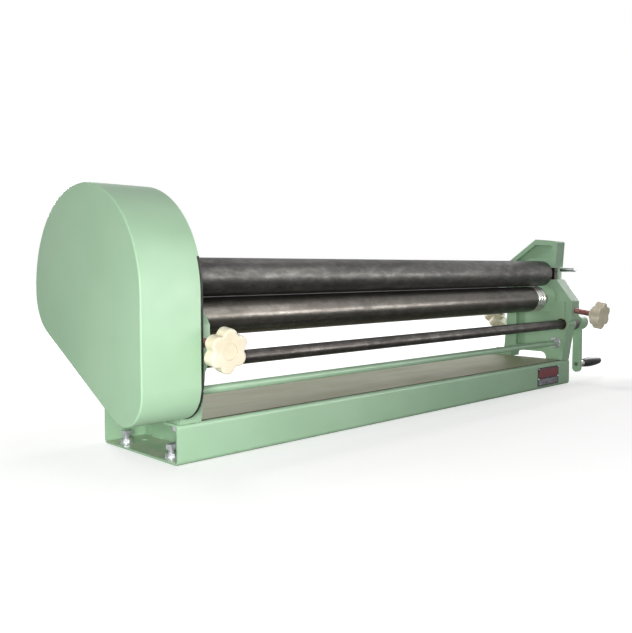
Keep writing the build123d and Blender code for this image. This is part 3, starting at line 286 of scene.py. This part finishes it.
def bare_metal(name, tint, shade, metallic=0.95, rough=(0.24, 0.42), edge_lightening=0.3):
    """Machined or plated metal with a fine grain, lighter on its edges."""
    look = Look(name, metallic=metallic)
    cloud = look.remap(look.noise(36.0), (0.35, 0.7))
    tone = look.mix(cloud, tint, shade)
    look.colour(look.mix(look.times(look.edges(0.0008), edge_lightening), tone, srgb(225, 224, 220)))
    look.rough(look.remap(look.noise(90.0), (0.3, 0.7), rough))
    look.bump((look.noise(260.0, detail=3.0, roughness=0.55), 0.09, FINE_RELIEF))
    return look.material


def sheet_steel(name):
    """Bare sheet with an olive film, drawn lengthwise, with a few handling marks and painted shade on its side
    faces.
    """
    look = Look(name, metallic=0.7)
    cloud = look.remap(look.noise(3.0, roughness=0.55, stretch=(0.6, 2.4, 1.0)), (0.3, 0.7))
    tone = look.mix(cloud, srgb(139, 142, 115), srgb(127, 129, 104))
    lines = look.noise(46.0, detail=3.0, roughness=0.55, stretch=(0.03, 1.0, 1.0))
    tone = look.mix(look.remap(lines, (0.35, 0.7), (0.0, 0.5)), tone, srgb(126, 121, 101))
    marks = look.remap(look.noise(55.0, roughness=0.7), (0.64, 0.78), (0.0, 0.5))
    tone = look.mix(marks, tone, srgb(104, 97, 82))
    # Painted shade: the faces that do not face up are darkened, which draws a dark line along the plate's edge.
    side_face_shade = look.remap(look.facing("Z"), (0.7, 0.3))
    look.colour(look.mix(side_face_shade, tone, srgb(62, 62, 52)))
    look.rough(look.remap(look.noise(18.0, stretch=(0.3, 1.0, 1.0)), (0.3, 0.7), (0.42, 0.56)))
    grain = look.noise(240.0, detail=2.0, roughness=0.5, stretch=(0.05, 1.0, 1.0))
    look.bump((grain, 0.05, FINE_RELIEF))
    return look.material


def moulded(name, tint, shade, rough, grain, specular=0.35):
    """Moulded plastic with faint flow clouds, and soiling and painted shade in its inner corners."""
    look = Look(name, specular=specular)
    cloud = look.remap(look.noise(26.0, roughness=0.55), (0.35, 0.68))
    tone = look.mix(cloud, tint, shade)
    # Soiling and painted shade in the inner corners, placed by ambient occlusion.
    dirt_and_corner_shade = look.times(look.crevices(CREVICE_REACH), 0.45)
    look.colour(look.mix(dirt_and_corner_shade, tone, srgb(96, 80, 58)))
    look.rough(look.remap(look.noise(60.0, detail=3.0, roughness=0.5), (0.3, 0.7), rough))
    look.bump((look.noise(500.0, detail=2.0, roughness=0.5), grain, FINE_RELIEF))
    return look.material


def red_screw(name):
    """Screw steel with a worn red-brown primer film left between the threads."""
    look = Look(name, metallic=0.45)
    worn = look.remap(look.noise(150.0, roughness=0.65), (0.42, 0.62))
    tone = look.mix(worn, srgb(128, 74, 72), srgb(168, 122, 116))
    look.colour(look.mix(look.times(look.edges(0.0006), 0.6), tone, srgb(188, 170, 164)))
    look.rough(look.remap(worn, (0.0, 1.0), (0.48, 0.34)))
    look.bump((look.noise(400.0, detail=3.0), 0.10, FINE_RELIEF))
    return look.material


SHEET_GREEN = enamel("enamel_sheet", srgb(169, 203, 170), srgb(162, 197, 163))
CAST_GREEN = enamel("enamel_cast", srgb(166, 200, 167), srgb(155, 190, 156), cast=True)
BASE_GREEN = enamel("enamel_base", srgb(169, 203, 170), srgb(162, 197, 163), dusty=True)
LATCH_GREEN = enamel("enamel_latch", srgb(186, 214, 184), srgb(172, 203, 170))
ROLL = oiled_steel("oiled_roll", srgb(51, 50, 49), srgb(67, 66, 64), gloss=(0.42, 0.52))
LOWER_ROLL = oiled_steel(
    "oiled_lower_roll", srgb(60, 57, 53), srgb(80, 76, 71), gloss=(0.28, 0.38), bright_from=GROOVES_START
)
REAR_ROLL = oiled_steel(
    "oiled_rear_roll", srgb(50, 48, 46), srgb(66, 63, 60), gloss=(0.42, 0.52), bright_from=GROOVES_START
)
SHAFT = oiled_steel("oiled_shaft", srgb(44, 41, 39), srgb(60, 56, 53), gloss=(0.36, 0.48))
SHEET = sheet_steel("bare_sheet")
STEEL = bare_metal("machined_steel", srgb(168, 165, 160), srgb(138, 134, 129))
DARK_STEEL = bare_metal("dark_steel", srgb(70, 66, 64), srgb(52, 49, 48), metallic=0.8, rough=(0.3, 0.48))
ZINC = bare_metal("zinc_plate", srgb(212, 214, 218), srgb(190, 192, 197), metallic=0.6, rough=(0.2, 0.36))
IRON = bare_metal("cast_iron", srgb(134, 130, 125), srgb(108, 104, 100), metallic=0.7, rough=(0.38, 0.58))
BRONZE = bare_metal("bronze", srgb(112, 95, 70), srgb(84, 71, 53), rough=(0.32, 0.5), edge_lightening=0.1)
CHROME = bare_metal("chrome", srgb(222, 224, 226), srgb(206, 208, 211), metallic=1.0, rough=(0.06, 0.14))
CREAM = moulded("cream_plastic", srgb(238, 230, 208), srgb(231, 219, 190), rough=(0.3, 0.42), grain=0.04)
BLACK = moulded(
    "black_plastic", srgb(14, 14, 18), srgb(21, 20, 24), rough=(0.28, 0.4), grain=0.06, specular=0.12
)
SCREW_RED = red_screw("primed_screw")
RUBBER = moulded("black_rubber", srgb(22, 22, 22), srgb(30, 30, 29), rough=(0.6, 0.75), grain=0.08)
PLATE_BLACK = moulded("plate_black", srgb(38, 34, 36), srgb(48, 43, 45), rough=(0.3, 0.42), grain=0.03)
PLATE_RED = moulded("plate_red", srgb(132, 34, 44), srgb(116, 28, 38), rough=(0.3, 0.42), grain=0.03)
PLATE_GREY = bare_metal("plate_grey", srgb(122, 120, 128), srgb(104, 101, 110), metallic=0.6)

node_looks = {
    "base_channel": BASE_GREEN,
    "base_cross_plates": SHEET_GREEN,
    "gear_cover": SHEET_GREEN,
    "cover_brackets": SHEET_GREEN,
    "tie_rod": SHEET_GREEN,
    "left_frame": CAST_GREEN,
    "right_frame": CAST_GREEN,
    "crank_arm": CAST_GREEN,
    "latch_cam": LATCH_GREEN,
    "top_roll": ROLL,
    "lower_roll": LOWER_ROLL,
    "rear_roll": REAR_ROLL,
    "crank_shaft": SHAFT,
    "crank_collar": DARK_STEEL,
    "top_right_bearing": DARK_STEEL,
    "base_top_plate": SHEET,
    "latch_handle": CHROME,
    "crank_grip": BLACK,
}
slot_looks = {
    "machined_steel": STEEL,
    "zinc_steel": ZINC,
    "iron": IRON,
    "bronze": BRONZE,
    "cream_plastic": CREAM,
}
slot_of = {part["node"]: part["material_slot"] for part in frame["record"]["subparts"]}
for node_name, node in frame["nodes"].items():
    node.data.materials.clear()
    node.data.materials.append(node_looks.get(node_name) or slot_looks[slot_of[node_name]])


# Mesh helpers
def add_object(name, data):
    """New object in the scene."""
    made = bpy.data.objects.new(name, data)
    bpy.context.collection.objects.link(made)
    return made


def finish_piece(name, bm, look, body, smooth_angle=35.0):
    """Turn a mesh into a piece with its look and body."""
    bmesh.ops.recalc_face_normals(bm, faces=bm.faces)
    mesh = bpy.data.meshes.new(name)
    bm.to_mesh(mesh)
    bm.free()
    mesh.materials.append(look)
    mesh.shade_smooth()
    mesh.set_sharp_from_angle(angle=math.radians(smooth_angle))
    piece = add_object(name, mesh)
    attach(piece, body)
    return piece


def axes_frame(origin, direction):
    """Matrix whose local z runs along a direction from an origin."""
    turn = Vector(direction).to_track_quat("Z", "Y").to_matrix().to_4x4()
    return Matrix.Translation(Vector(origin)) @ turn


def loft(bm, rings):
    """Closed skin through rings of equally many points, with a face on each end."""
    loops = [[bm.verts.new(spot) for spot in points] for points in rings]
    count = len(loops[0])
    for first, second in zip(loops, loops[1:]):
        for i in range(count):
            j = (i + 1) % count
            bm.faces.new((first[i], first[j], second[j], second[i]))
    bm.faces.new(list(reversed(loops[0])))
    bm.faces.new(loops[-1])


def ring(matrix, radius, height, count):
    """Ring of points about the matrix's z axis; the radius can be a function of the angle."""
    points = []
    for i in range(count):
        angle = math.tau * i / count
        reach = radius(angle) if callable(radius) else radius
        points.append(matrix @ Vector((reach * math.cos(angle), reach * math.sin(angle), height)))
    return points


def lathe(bm, matrix, profile, count=32):
    """Closed turned body from (height, radius) corners."""
    loft(bm, [ring(matrix, radius, height, count) for height, radius in profile])


def hexagon(flats):
    """Radius of a hexagon as a function of the angle, by its size across flats."""
    def radius(angle):
        off = (angle + math.pi / 6) % (math.pi / 3) - math.pi / 6
        return flats / 2 / math.cos(off)
    return radius


def washer(bm, matrix, outer, inner, thickness, ease=0.0004, chamfer=0.0006, count=32):
    """Flat washer on a face, its outer edge chamfered by ease in height and chamfer in radius."""
    rim = outer - chamfer
    lathe(bm, matrix, [(0, outer), (thickness - ease, outer), (thickness, rim), (thickness, inner)], count)


# Adjusting screws with cut threads, in place of their plain solids
SCREW_RADIUS = 0.008
SCREW_ROOT = 0.0066
SCREW_PITCH = 0.004
PLAIN_TIP = 0.006
PLAIN_HEAD = 0.030
THREAD_SIDES = 28
RINGS_PER_TURN = 8
joint_axes = {joint["name"]: Vector(joint["axis"]) for joint in frame["joints"]}


def thread_profile(turn):
    """Height of a trapezoid thread, from 0 at the root to 1 at the crest, over one turn."""
    turn %= 1.0
    if turn < 0.25:
        return turn / 0.25
    if turn < 0.5:
        return 1.0
    if turn < 0.75:
        return 1.0 - (turn - 0.5) / 0.25
    return 0.0


def threaded_rod(matrix, length):
    """Rod along local z, with a cut thread between its plain tip and its plain head in the knob."""
    thread_end = length - PLAIN_HEAD
    heights = [0.0]
    height = PLAIN_TIP
    while height < thread_end:
        heights.append(height)
        height += SCREW_PITCH / RINGS_PER_TURN
    heights += [thread_end, length]
    rings = []
    for height in heights:
        run_in = min(height - PLAIN_TIP, thread_end - height) / SCREW_PITCH
        depth = (SCREW_RADIUS - SCREW_ROOT) * max(0.0, min(1.0, run_in))

        def radius(angle):
            return SCREW_RADIUS - depth * (1.0 - thread_profile(height / SCREW_PITCH - angle / math.tau))

        rings.append(ring(matrix, radius, height, THREAD_SIDES))
    bm = bmesh.new()
    loft(bm, rings)
    return bm


def adjusting_screw(place, hand):
    """Threaded screw along the solid that it stands for."""
    node_name = f"{place}_screw_{hand}"
    axis = joint_axes[f"{node_name}_turn"]
    outward = axis if place == "front" else -axis
    low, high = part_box(node_name)
    across = SCREW_RADIUS * math.sqrt(1 - outward.y**2)
    length = (high.y - low.y - 2 * across) / abs(outward.y)
    tip = (low + high) / 2 - outward * length / 2
    bm = threaded_rod(axes_frame(tip, outward), length)
    piece = finish_piece(f"{node_name}_thread", bm, SCREW_RED, node_name, 50.0)
    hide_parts(node_name)


for hand in ("left", "right"):
    for place in ("front", "rear"):
        adjusting_screw(place, hand)

# Socket set screws in the collars
SOCKET_DEPTH = 0.0022
SOCKET_FLOOR = 0.001
SET_SCREW_PROUD = 0.0004
SET_SCREW_EASE = 0.0003
SET_SCREW_SIDES = 24
CRANK_COLLAR_WIDTH = 0.028
ROLL_COLLAR_WIDTH = 0.010


def set_screw(bm, origin, direction, radius, flats):
    """Socket set screw, its hexagon socket open to the outside."""
    matrix = axes_frame(origin, direction)
    rings = [
        (radius, -SOCKET_DEPTH - SOCKET_FLOOR),
        (radius, SET_SCREW_PROUD - SET_SCREW_EASE),
        (radius - SET_SCREW_EASE, SET_SCREW_PROUD),
        (hexagon(flats), SET_SCREW_PROUD),
        (hexagon(flats), SET_SCREW_PROUD - SOCKET_DEPTH),
    ]
    loft(bm, [ring(matrix, reach, height, SET_SCREW_SIDES) for reach, height in rings])


def collar_set_screws(name, node_name, body, width, degrees, radius, flats, sides=(1,)):
    """Set screws of a collar or a pair of them, at an angle from +Y to +Z about the collar's axis."""
    low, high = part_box(node_name)
    middle = (low + high) / 2
    outward = Vector((0, math.cos(math.radians(degrees)), math.sin(math.radians(degrees))))
    surface = outward * (high.y - low.y) / 2
    bm = bmesh.new()
    for side in sides:
        x = side * (high.x - width / 2)
        set_screw(bm, Vector((x, middle.y, middle.z)) + surface, outward, radius, flats)
    finish_piece(name, bm, DARK_STEEL, body)


collar_set_screws(
    "crank_collar_set_screw", "crank_collar", "crank",
    CRANK_COLLAR_WIDTH, degrees=205, radius=0.004, flats=0.0036,
)
collar_set_screws(
    "lower_collar_set_screw", "lower_roll_collar", "lower_roll",
    ROLL_COLLAR_WIDTH, degrees=150, radius=0.003, flats=0.003,
)
collar_set_screws(
    "rear_collar_set_screws", "rear_roll_collars", "rear_roll",
    ROLL_COLLAR_WIDTH, degrees=60, radius=0.003, flats=0.003, sides=(-1, 1),
)

# Bare name plate on the base's front, with a plain field, a plain panel and rivets
PLATE_LOW = (0.517, 0.009)
PLATE_HIGH = (0.635, 0.062)
FIELD_LOW = (0.524, 0.033)
FIELD_HIGH = (0.628, 0.057)
PANEL_LOW = (0.521, 0.012)
PANEL_HIGH = (0.631, 0.028)
INLAY_FACE = base_front - 0.0008
CORNER_STEPS = 6
RIVET_INSET = 0.0042
RIVET_ROWS = (0.0305, PLATE_HIGH[1] - 0.0030)
RIVET_PROFILE = [(0, 0.0020), (0.0006, 0.0018), (0.0011, 0.0011), (0.0013, 0.0004)]


def rounded_plate(low, high, y, thickness, corner, edge):
    """Thin plate facing -Y, with round corners and an eased edge."""
    corners = (
        (high[0] - corner, high[1] - corner, 0),
        (low[0] + corner, high[1] - corner, 90),
        (low[0] + corner, low[1] + corner, 180),
        (high[0] - corner, low[1] + corner, 270),
    )

    def outline(inset, depth):
        points = []
        for x, z, start in corners:
            for i in range(CORNER_STEPS + 1):
                angle = math.radians(start + 90 * i / CORNER_STEPS)
                reach = corner - inset
                points.append(Vector((x + reach * math.cos(angle), y - depth, z + reach * math.sin(angle))))
        return points

    bm = bmesh.new()
    loft(bm, [outline(0, 0), outline(0, thickness - edge), outline(edge, thickness)])
    return bm


def name_plate():
    """The plate, its two inlays and its rivets."""
    plate = rounded_plate(PLATE_LOW, PLATE_HIGH, base_front, thickness=0.0010, corner=0.003, edge=0.0003)
    finish_piece("name_plate", plate, PLATE_BLACK, "machine")
    field = rounded_plate(FIELD_LOW, FIELD_HIGH, INLAY_FACE, thickness=0.0005, corner=0.004, edge=0.0002)
    finish_piece("name_plate_field", field, PLATE_RED, "machine")
    panel = rounded_plate(PANEL_LOW, PANEL_HIGH, INLAY_FACE, thickness=0.0005, corner=0.002, edge=0.0002)
    finish_piece("name_plate_panel", panel, PLATE_GREY, "machine")
    rivets = bmesh.new()
    for x in (PLATE_LOW[0] + RIVET_INSET, PLATE_HIGH[0] - RIVET_INSET):
        for z in RIVET_ROWS:
            lathe(rivets, axes_frame((x, INLAY_FACE, z), (0, -1, 0)), RIVET_PROFILE, 16)
    finish_piece("name_plate_rivets", rivets, ZINC, "machine")


name_plate()

# Weld beads that fix the cross plates to the floor and walls of the channel
WELD_RADIUS = 0.0034
WELD_PITCH = 0.006
WELD_SIDES = 10
RINGS_PER_PUDDLE = 3
PUDDLE_MEAN = 0.86
PUDDLE_RIPPLE = 0.14
PUDDLE_PHASE = 1.2
PUDDLE_SCATTER = 0.05
WELD_END = 0.35
WELD_END_STEP = 0.3
FLOOR_WELDS_Y = (-0.085, 0.0, 0.085)
FLOOR_WELD_HALF = 0.022
WALL_WELD_Z = (0.018, 0.056)


def bead(bm, start, end):
    """Weld bead between two points, with a ripple for each puddle."""
    line = Vector(end) - Vector(start)
    matrix = axes_frame(start, line.normalized())
    count = max(2, int(line.length / WELD_PITCH)) * RINGS_PER_PUDDLE
    rings = []
    for i in range(count + 1):
        swell = PUDDLE_MEAN + PUDDLE_RIPPLE * math.sin(math.tau * i / RINGS_PER_PUDDLE - PUDDLE_PHASE)
        swell += rng.uniform(-PUDDLE_SCATTER, PUDDLE_SCATTER)
        end_taper = min(1.0, WELD_END + WELD_END_STEP * min(i, count - i))
        rings.append(ring(matrix, WELD_RADIUS * swell * end_taper, line.length * i / count, WELD_SIDES))
    loft(bm, rings)


def cross_plate_welds():
    """Beads on the outer faces of both cross plates."""
    bm = bmesh.new()
    for x in (-cross_high.x, cross_high.x):
        for y in FLOOR_WELDS_Y:
            bead(bm, (x, y - FLOOR_WELD_HALF, base_floor), (x, y + FLOOR_WELD_HALF, base_floor))
        for y in (-cross_high.y, cross_high.y):
            bead(bm, (x, y, WALL_WELD_Z[0]), (x, y, WALL_WELD_Z[1]))
    finish_piece("cross_plate_welds", bm, SHEET_GREEN, "machine", 60.0)


cross_plate_welds()

# Washers and lock nuts of the frame bolts, the levelling screws and the tie rod
LEVEL_WASHER = 0.0025
LEVEL_NUT_TOP = 0.0090


def frame_bolt_washers():
    """Washers under the heads of the bolts in the frames' feet."""
    low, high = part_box("frame_bolts")
    front = (high.x - BOLT_CORNER, low.y + BOLT_FLATS / 2)
    rear = (frame_middle, high.y - BOLT_FLATS / 2)
    bm = bmesh.new()
    for side in (-1, 1):
        for x, y in (front, rear):
            matrix = axes_frame((side * x, y, foot_top), (0, 0, 1))
            washer(bm, matrix, outer=0.0118, inner=0.0066, thickness=0.0018)
    finish_piece("frame_bolt_washers", bm, ZINC, "machine")


def level_screw_nuts():
    """Washers and lock nuts of the levelling screws, on the base's floor."""
    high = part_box("level_screws")[1]
    screw_x = high.x - BOLT_CORNER
    screw_y = high.y - BOLT_FLATS / 2
    bm = bmesh.new()
    for x in (-screw_x, screw_x):
        for y in (-screw_y, screw_y):
            matrix = axes_frame((x, y, base_floor), (0, 0, 1))
            washer(bm, matrix, outer=0.0120, inner=0.0062, thickness=LEVEL_WASHER, ease=0.0005)
            loft(bm, [ring(matrix, hexagon(BOLT_FLATS), z, 24) for z in (LEVEL_WASHER, LEVEL_NUT_TOP)])
    finish_piece("level_screw_nuts", bm, ZINC, "machine")


def tie_rod_washers():
    """Washers under the tie rod's nuts, on both faces of both frames."""
    low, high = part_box("tie_rod")
    middle = (low + high) / 2
    bm = bmesh.new()
    for side in (-1, 1):
        for face, outward in ((inner_face, -1), (outer_face, 1)):
            matrix = axes_frame((side * face, middle.y, middle.z), (side * outward, 0, 0))
            washer(bm, matrix, outer=0.0165, inner=0.0090, thickness=0.0018, count=40)
    finish_piece("tie_rod_washers", bm, ZINC, "machine")


frame_bolt_washers()
level_screw_nuts()
tie_rod_washers()

# Rubber edge along the front and the lower curve of the cover's rear rim
COVER_CENTRE = (-0.012, 0.307)
COVER_RADIUS = 0.191
COVER_LOW_CENTRE = (-0.141, 0.150)
COVER_LOW_RADIUS = 0.062
COVER_CUT = math.radians(28.2)
EDGE_TOP = math.radians(161)
EDGE_TAIL = 0.150
EDGE_WIDTH = 0.0046
EDGE_PROUD = 0.0010
EDGE_SINK = 0.0001
EDGE_SECTION = (
    (0.0, 0.0),
    (0.0, 0.7 * EDGE_PROUD),
    (0.0003, EDGE_PROUD),
    (EDGE_WIDTH - 0.0005, EDGE_PROUD),
    (EDGE_WIDTH, 0.0),
)


def rim_arc(centre, radius, start, end, count):
    """Points and outward directions along an arc of the cover's rim, angles from +Y to +Z."""
    for i in range(count + 1):
        angle = start + (end - start) * i / count
        outward = Vector((0, math.cos(angle), math.sin(angle)))
        yield Vector((-outer_face, *centre)) + outward * radius, outward


def cover_edge_rubber():
    """Strip down the front of the rim, round its lower curve and along its slanted bottom."""
    path = list(rim_arc(COVER_CENTRE, COVER_RADIUS, EDGE_TOP, math.pi, 16))
    path += rim_arc(COVER_LOW_CENTRE, COVER_LOW_RADIUS, math.pi, 1.5 * math.pi + COVER_CUT, 32)
    curve_end, downward = path[-1]
    slant = Vector((0, math.cos(COVER_CUT), math.sin(COVER_CUT)))
    path.append((curve_end + EDGE_TAIL * slant, downward))

    def section(spot, outward):
        return [spot + outward * (rise - EDGE_SINK) - Vector((back, 0, 0)) for back, rise in EDGE_SECTION]

    bm = bmesh.new()
    loft(bm, [section(spot, outward) for spot, outward in path])
    finish_piece("cover_edge_rubber", bm, RUBBER, "machine", 50.0)


cover_edge_rubber()

# Camera, where the photograph was taken from
EYE = Vector((-1.4375, -1.2502, 0.3506))
PAN = math.radians(46.19)
PITCH = math.radians(3.69)
FOCAL_PIXELS = 760
PHOTO_WIDTH_PIXELS = 632
SENSOR_WIDTH = 36.0
forward = Vector((math.cos(PAN) * math.cos(PITCH), math.sin(PAN) * math.cos(PITCH), -math.sin(PITCH)))
scene = bpy.context.scene
scene.view_settings.view_transform = "Standard"


def point(made, place, direction):
    """Put a camera or a lamp at a place, looking along a direction."""
    made.location = place
    made.rotation_mode = "QUATERNION"
    made.rotation_quaternion = direction.to_track_quat("-Z", "Y")


def photo_camera():
    """Camera with the photograph's view."""
    camera = bpy.data.cameras.new("camera")
    camera.sensor_fit = "HORIZONTAL"
    camera.sensor_width = SENSOR_WIDTH
    camera.lens = FOCAL_PIXELS / PHOTO_WIDTH_PIXELS * SENSOR_WIDTH
    camera.clip_start = 0.05
    camera.clip_end = 100.0
    made = add_object("camera", camera)
    point(made, EYE, forward)
    return made


scene.camera = photo_camera()

# Floor and world
FLOOR_REACH = 14.0
FLOOR_GAP = 0.0005
FLOOR_GREY = (0.56, 0.56, 0.55, 1)
FOOTPRINT = (0.75, 0.2, 0.0)
GLOW_DISTANCES = (0.1, 1.2)
GLOW_LEVELS = (0.58, 1.0)
AMBIENT_COLOUR = (0.95, 0.97, 1.0, 1)
AMBIENT_STRENGTH = 0.15
WHITE = (1, 1, 1, 1)


def floor_look():
    """Pale floor that keeps the shadow near the machine and is white to the eye farther off."""
    material = bpy.data.materials.new("floor")
    tree = empty_tree(material)

    def step(operation, first, second=None):
        node = tree.nodes.new("ShaderNodeVectorMath")
        node.operation = operation
        tree.links.new(first, node.inputs[0])
        if second is not None:
            node.inputs[1].default_value = second
        return node.outputs

    place = tree.nodes.new("ShaderNodeTexCoord").outputs["Object"]
    past = step("SUBTRACT", step("ABSOLUTE", place)["Vector"], FOOTPRINT)["Vector"]
    away = step("LENGTH", step("MAXIMUM", past, (0.0, 0.0, 0.0))["Vector"])["Value"]
    level = tree.nodes.new("ShaderNodeMapRange")
    tree.links.new(away, level.inputs["Value"])
    level.inputs["From Min"].default_value = GLOW_DISTANCES[0]
    level.inputs["From Max"].default_value = GLOW_DISTANCES[1]
    level.inputs["To Min"].default_value = GLOW_LEVELS[0]
    level.inputs["To Max"].default_value = GLOW_LEVELS[1]
    light_path = tree.nodes.new("ShaderNodeLightPath")
    strength = tree.nodes.new("ShaderNodeMath")
    strength.operation = "MULTIPLY"
    tree.links.new(light_path.outputs["Is Camera Ray"], strength.inputs[0])
    tree.links.new(level.outputs["Result"], strength.inputs[1])
    glow = tree.nodes.new("ShaderNodeEmission")
    glow.inputs["Color"].default_value = WHITE
    tree.links.new(strength.outputs["Value"], glow.inputs["Strength"])
    diffuse = tree.nodes.new("ShaderNodeBsdfDiffuse")
    diffuse.inputs["Color"].default_value = FLOOR_GREY
    both = tree.nodes.new("ShaderNodeAddShader")
    tree.links.new(diffuse.outputs["BSDF"], both.inputs[0])
    tree.links.new(glow.outputs["Emission"], both.inputs[1])
    output = tree.nodes.new("ShaderNodeOutputMaterial")
    tree.links.new(both.outputs["Shader"], output.inputs["Surface"])
    return material


def studio_floor():
    """Square floor just under the machine."""
    mesh = bpy.data.meshes.new("floor")
    corners = [(FLOOR_REACH * x, FLOOR_REACH * y, 0) for x, y in ((-1, -1), (1, -1), (1, 1), (-1, 1))]
    mesh.from_pydata(corners, [], [(0, 1, 2, 3)])
    mesh.materials.append(floor_look())
    floor = add_object("floor", mesh)
    floor.location.z = cad_low.z - FLOOR_GAP


def studio_world():
    """White backdrop to the eye and in reflections, soft even light otherwise."""
    world = bpy.data.worlds.new("studio")
    tree = empty_tree(world)
    light_path = tree.nodes.new("ShaderNodeLightPath")
    seen = light_path.outputs["Is Camera Ray"]
    for kind in ("Is Glossy Ray", "Is Transmission Ray"):
        either = tree.nodes.new("ShaderNodeMath")
        either.operation = "MAXIMUM"
        tree.links.new(seen, either.inputs[0])
        tree.links.new(light_path.outputs[kind], either.inputs[1])
        seen = either.outputs["Value"]
    ambient = tree.nodes.new("ShaderNodeBackground")
    ambient.inputs["Color"].default_value = AMBIENT_COLOUR
    ambient.inputs["Strength"].default_value = AMBIENT_STRENGTH
    backdrop = tree.nodes.new("ShaderNodeBackground")
    backdrop.inputs["Color"].default_value = WHITE
    backdrop.inputs["Strength"].default_value = 1.0
    blend = tree.nodes.new("ShaderNodeMixShader")
    tree.links.new(seen, blend.inputs["Fac"])
    tree.links.new(ambient.outputs["Background"], blend.inputs[1])
    tree.links.new(backdrop.outputs["Background"], blend.inputs[2])
    output = tree.nodes.new("ShaderNodeOutputWorld")
    tree.links.new(blend.outputs["Shader"], output.inputs["Surface"])
    return world


studio_floor()
scene.world = studio_world()

# Lamps
KEY_BEHIND_EYE = 0.35
KEY_SHIFT = Vector((-0.06, 0.04, 0.03))
KEY_SPREAD = math.radians(100)


def lamp(name, at, to, size, power):
    """Soft rectangular lamp."""
    light = bpy.data.lights.new(name, "AREA")
    light.shape = "RECTANGLE"
    light.size, light.size_y = size
    light.energy = power
    made = add_object(name, light)
    point(made, at, Vector(to) - Vector(at))
    return made


# The key stands just behind the eye, so light falls off towards the crank end
key_place = EYE - KEY_BEHIND_EYE * forward + KEY_SHIFT
key = lamp("key", at=key_place, to=(-0.75, -0.18, 0.05), size=(0.5, 0.4), power=10.8)
key.data.spread = KEY_SPREAD
# The strip only draws the highlights along the rolls
strip = lamp("strip", at=(1.24, -2.12, 0.38), to=(-0.16, -0.22, 0.30), size=(1.8, 0.36), power=48)
strip.visible_diffuse = False
# The sheen panel, higher up, lightens the upper side of the rolls towards the cover
sheen = lamp("sheen", at=(1.25, -2.2, 1.7), to=(-0.2, -0.1, 0.3), size=(1.6, 1.8), power=44)
sheen.visible_diffuse = False
lamp("back", at=(-0.1, 2.8, 1.3), to=(0.0, 0.0, 0.2), size=(1.2, 1.0), power=55)
lamp("right", at=(3.2, 0.3, 1.0), to=(0.6, 0.0, 0.2), size=(1.2, 1.0), power=34)
lamp("top", at=(0.2, 0.1, 3.0), to=(0.2, 0.0, 0.2), size=(2.2, 1.4), power=7)
# The relief lamp rakes the crank end's frame from above
lamp("relief", at=(0.35, 0.05, 1.5), to=(0.66, -0.02, 0.32), size=(0.25, 0.25), power=2)
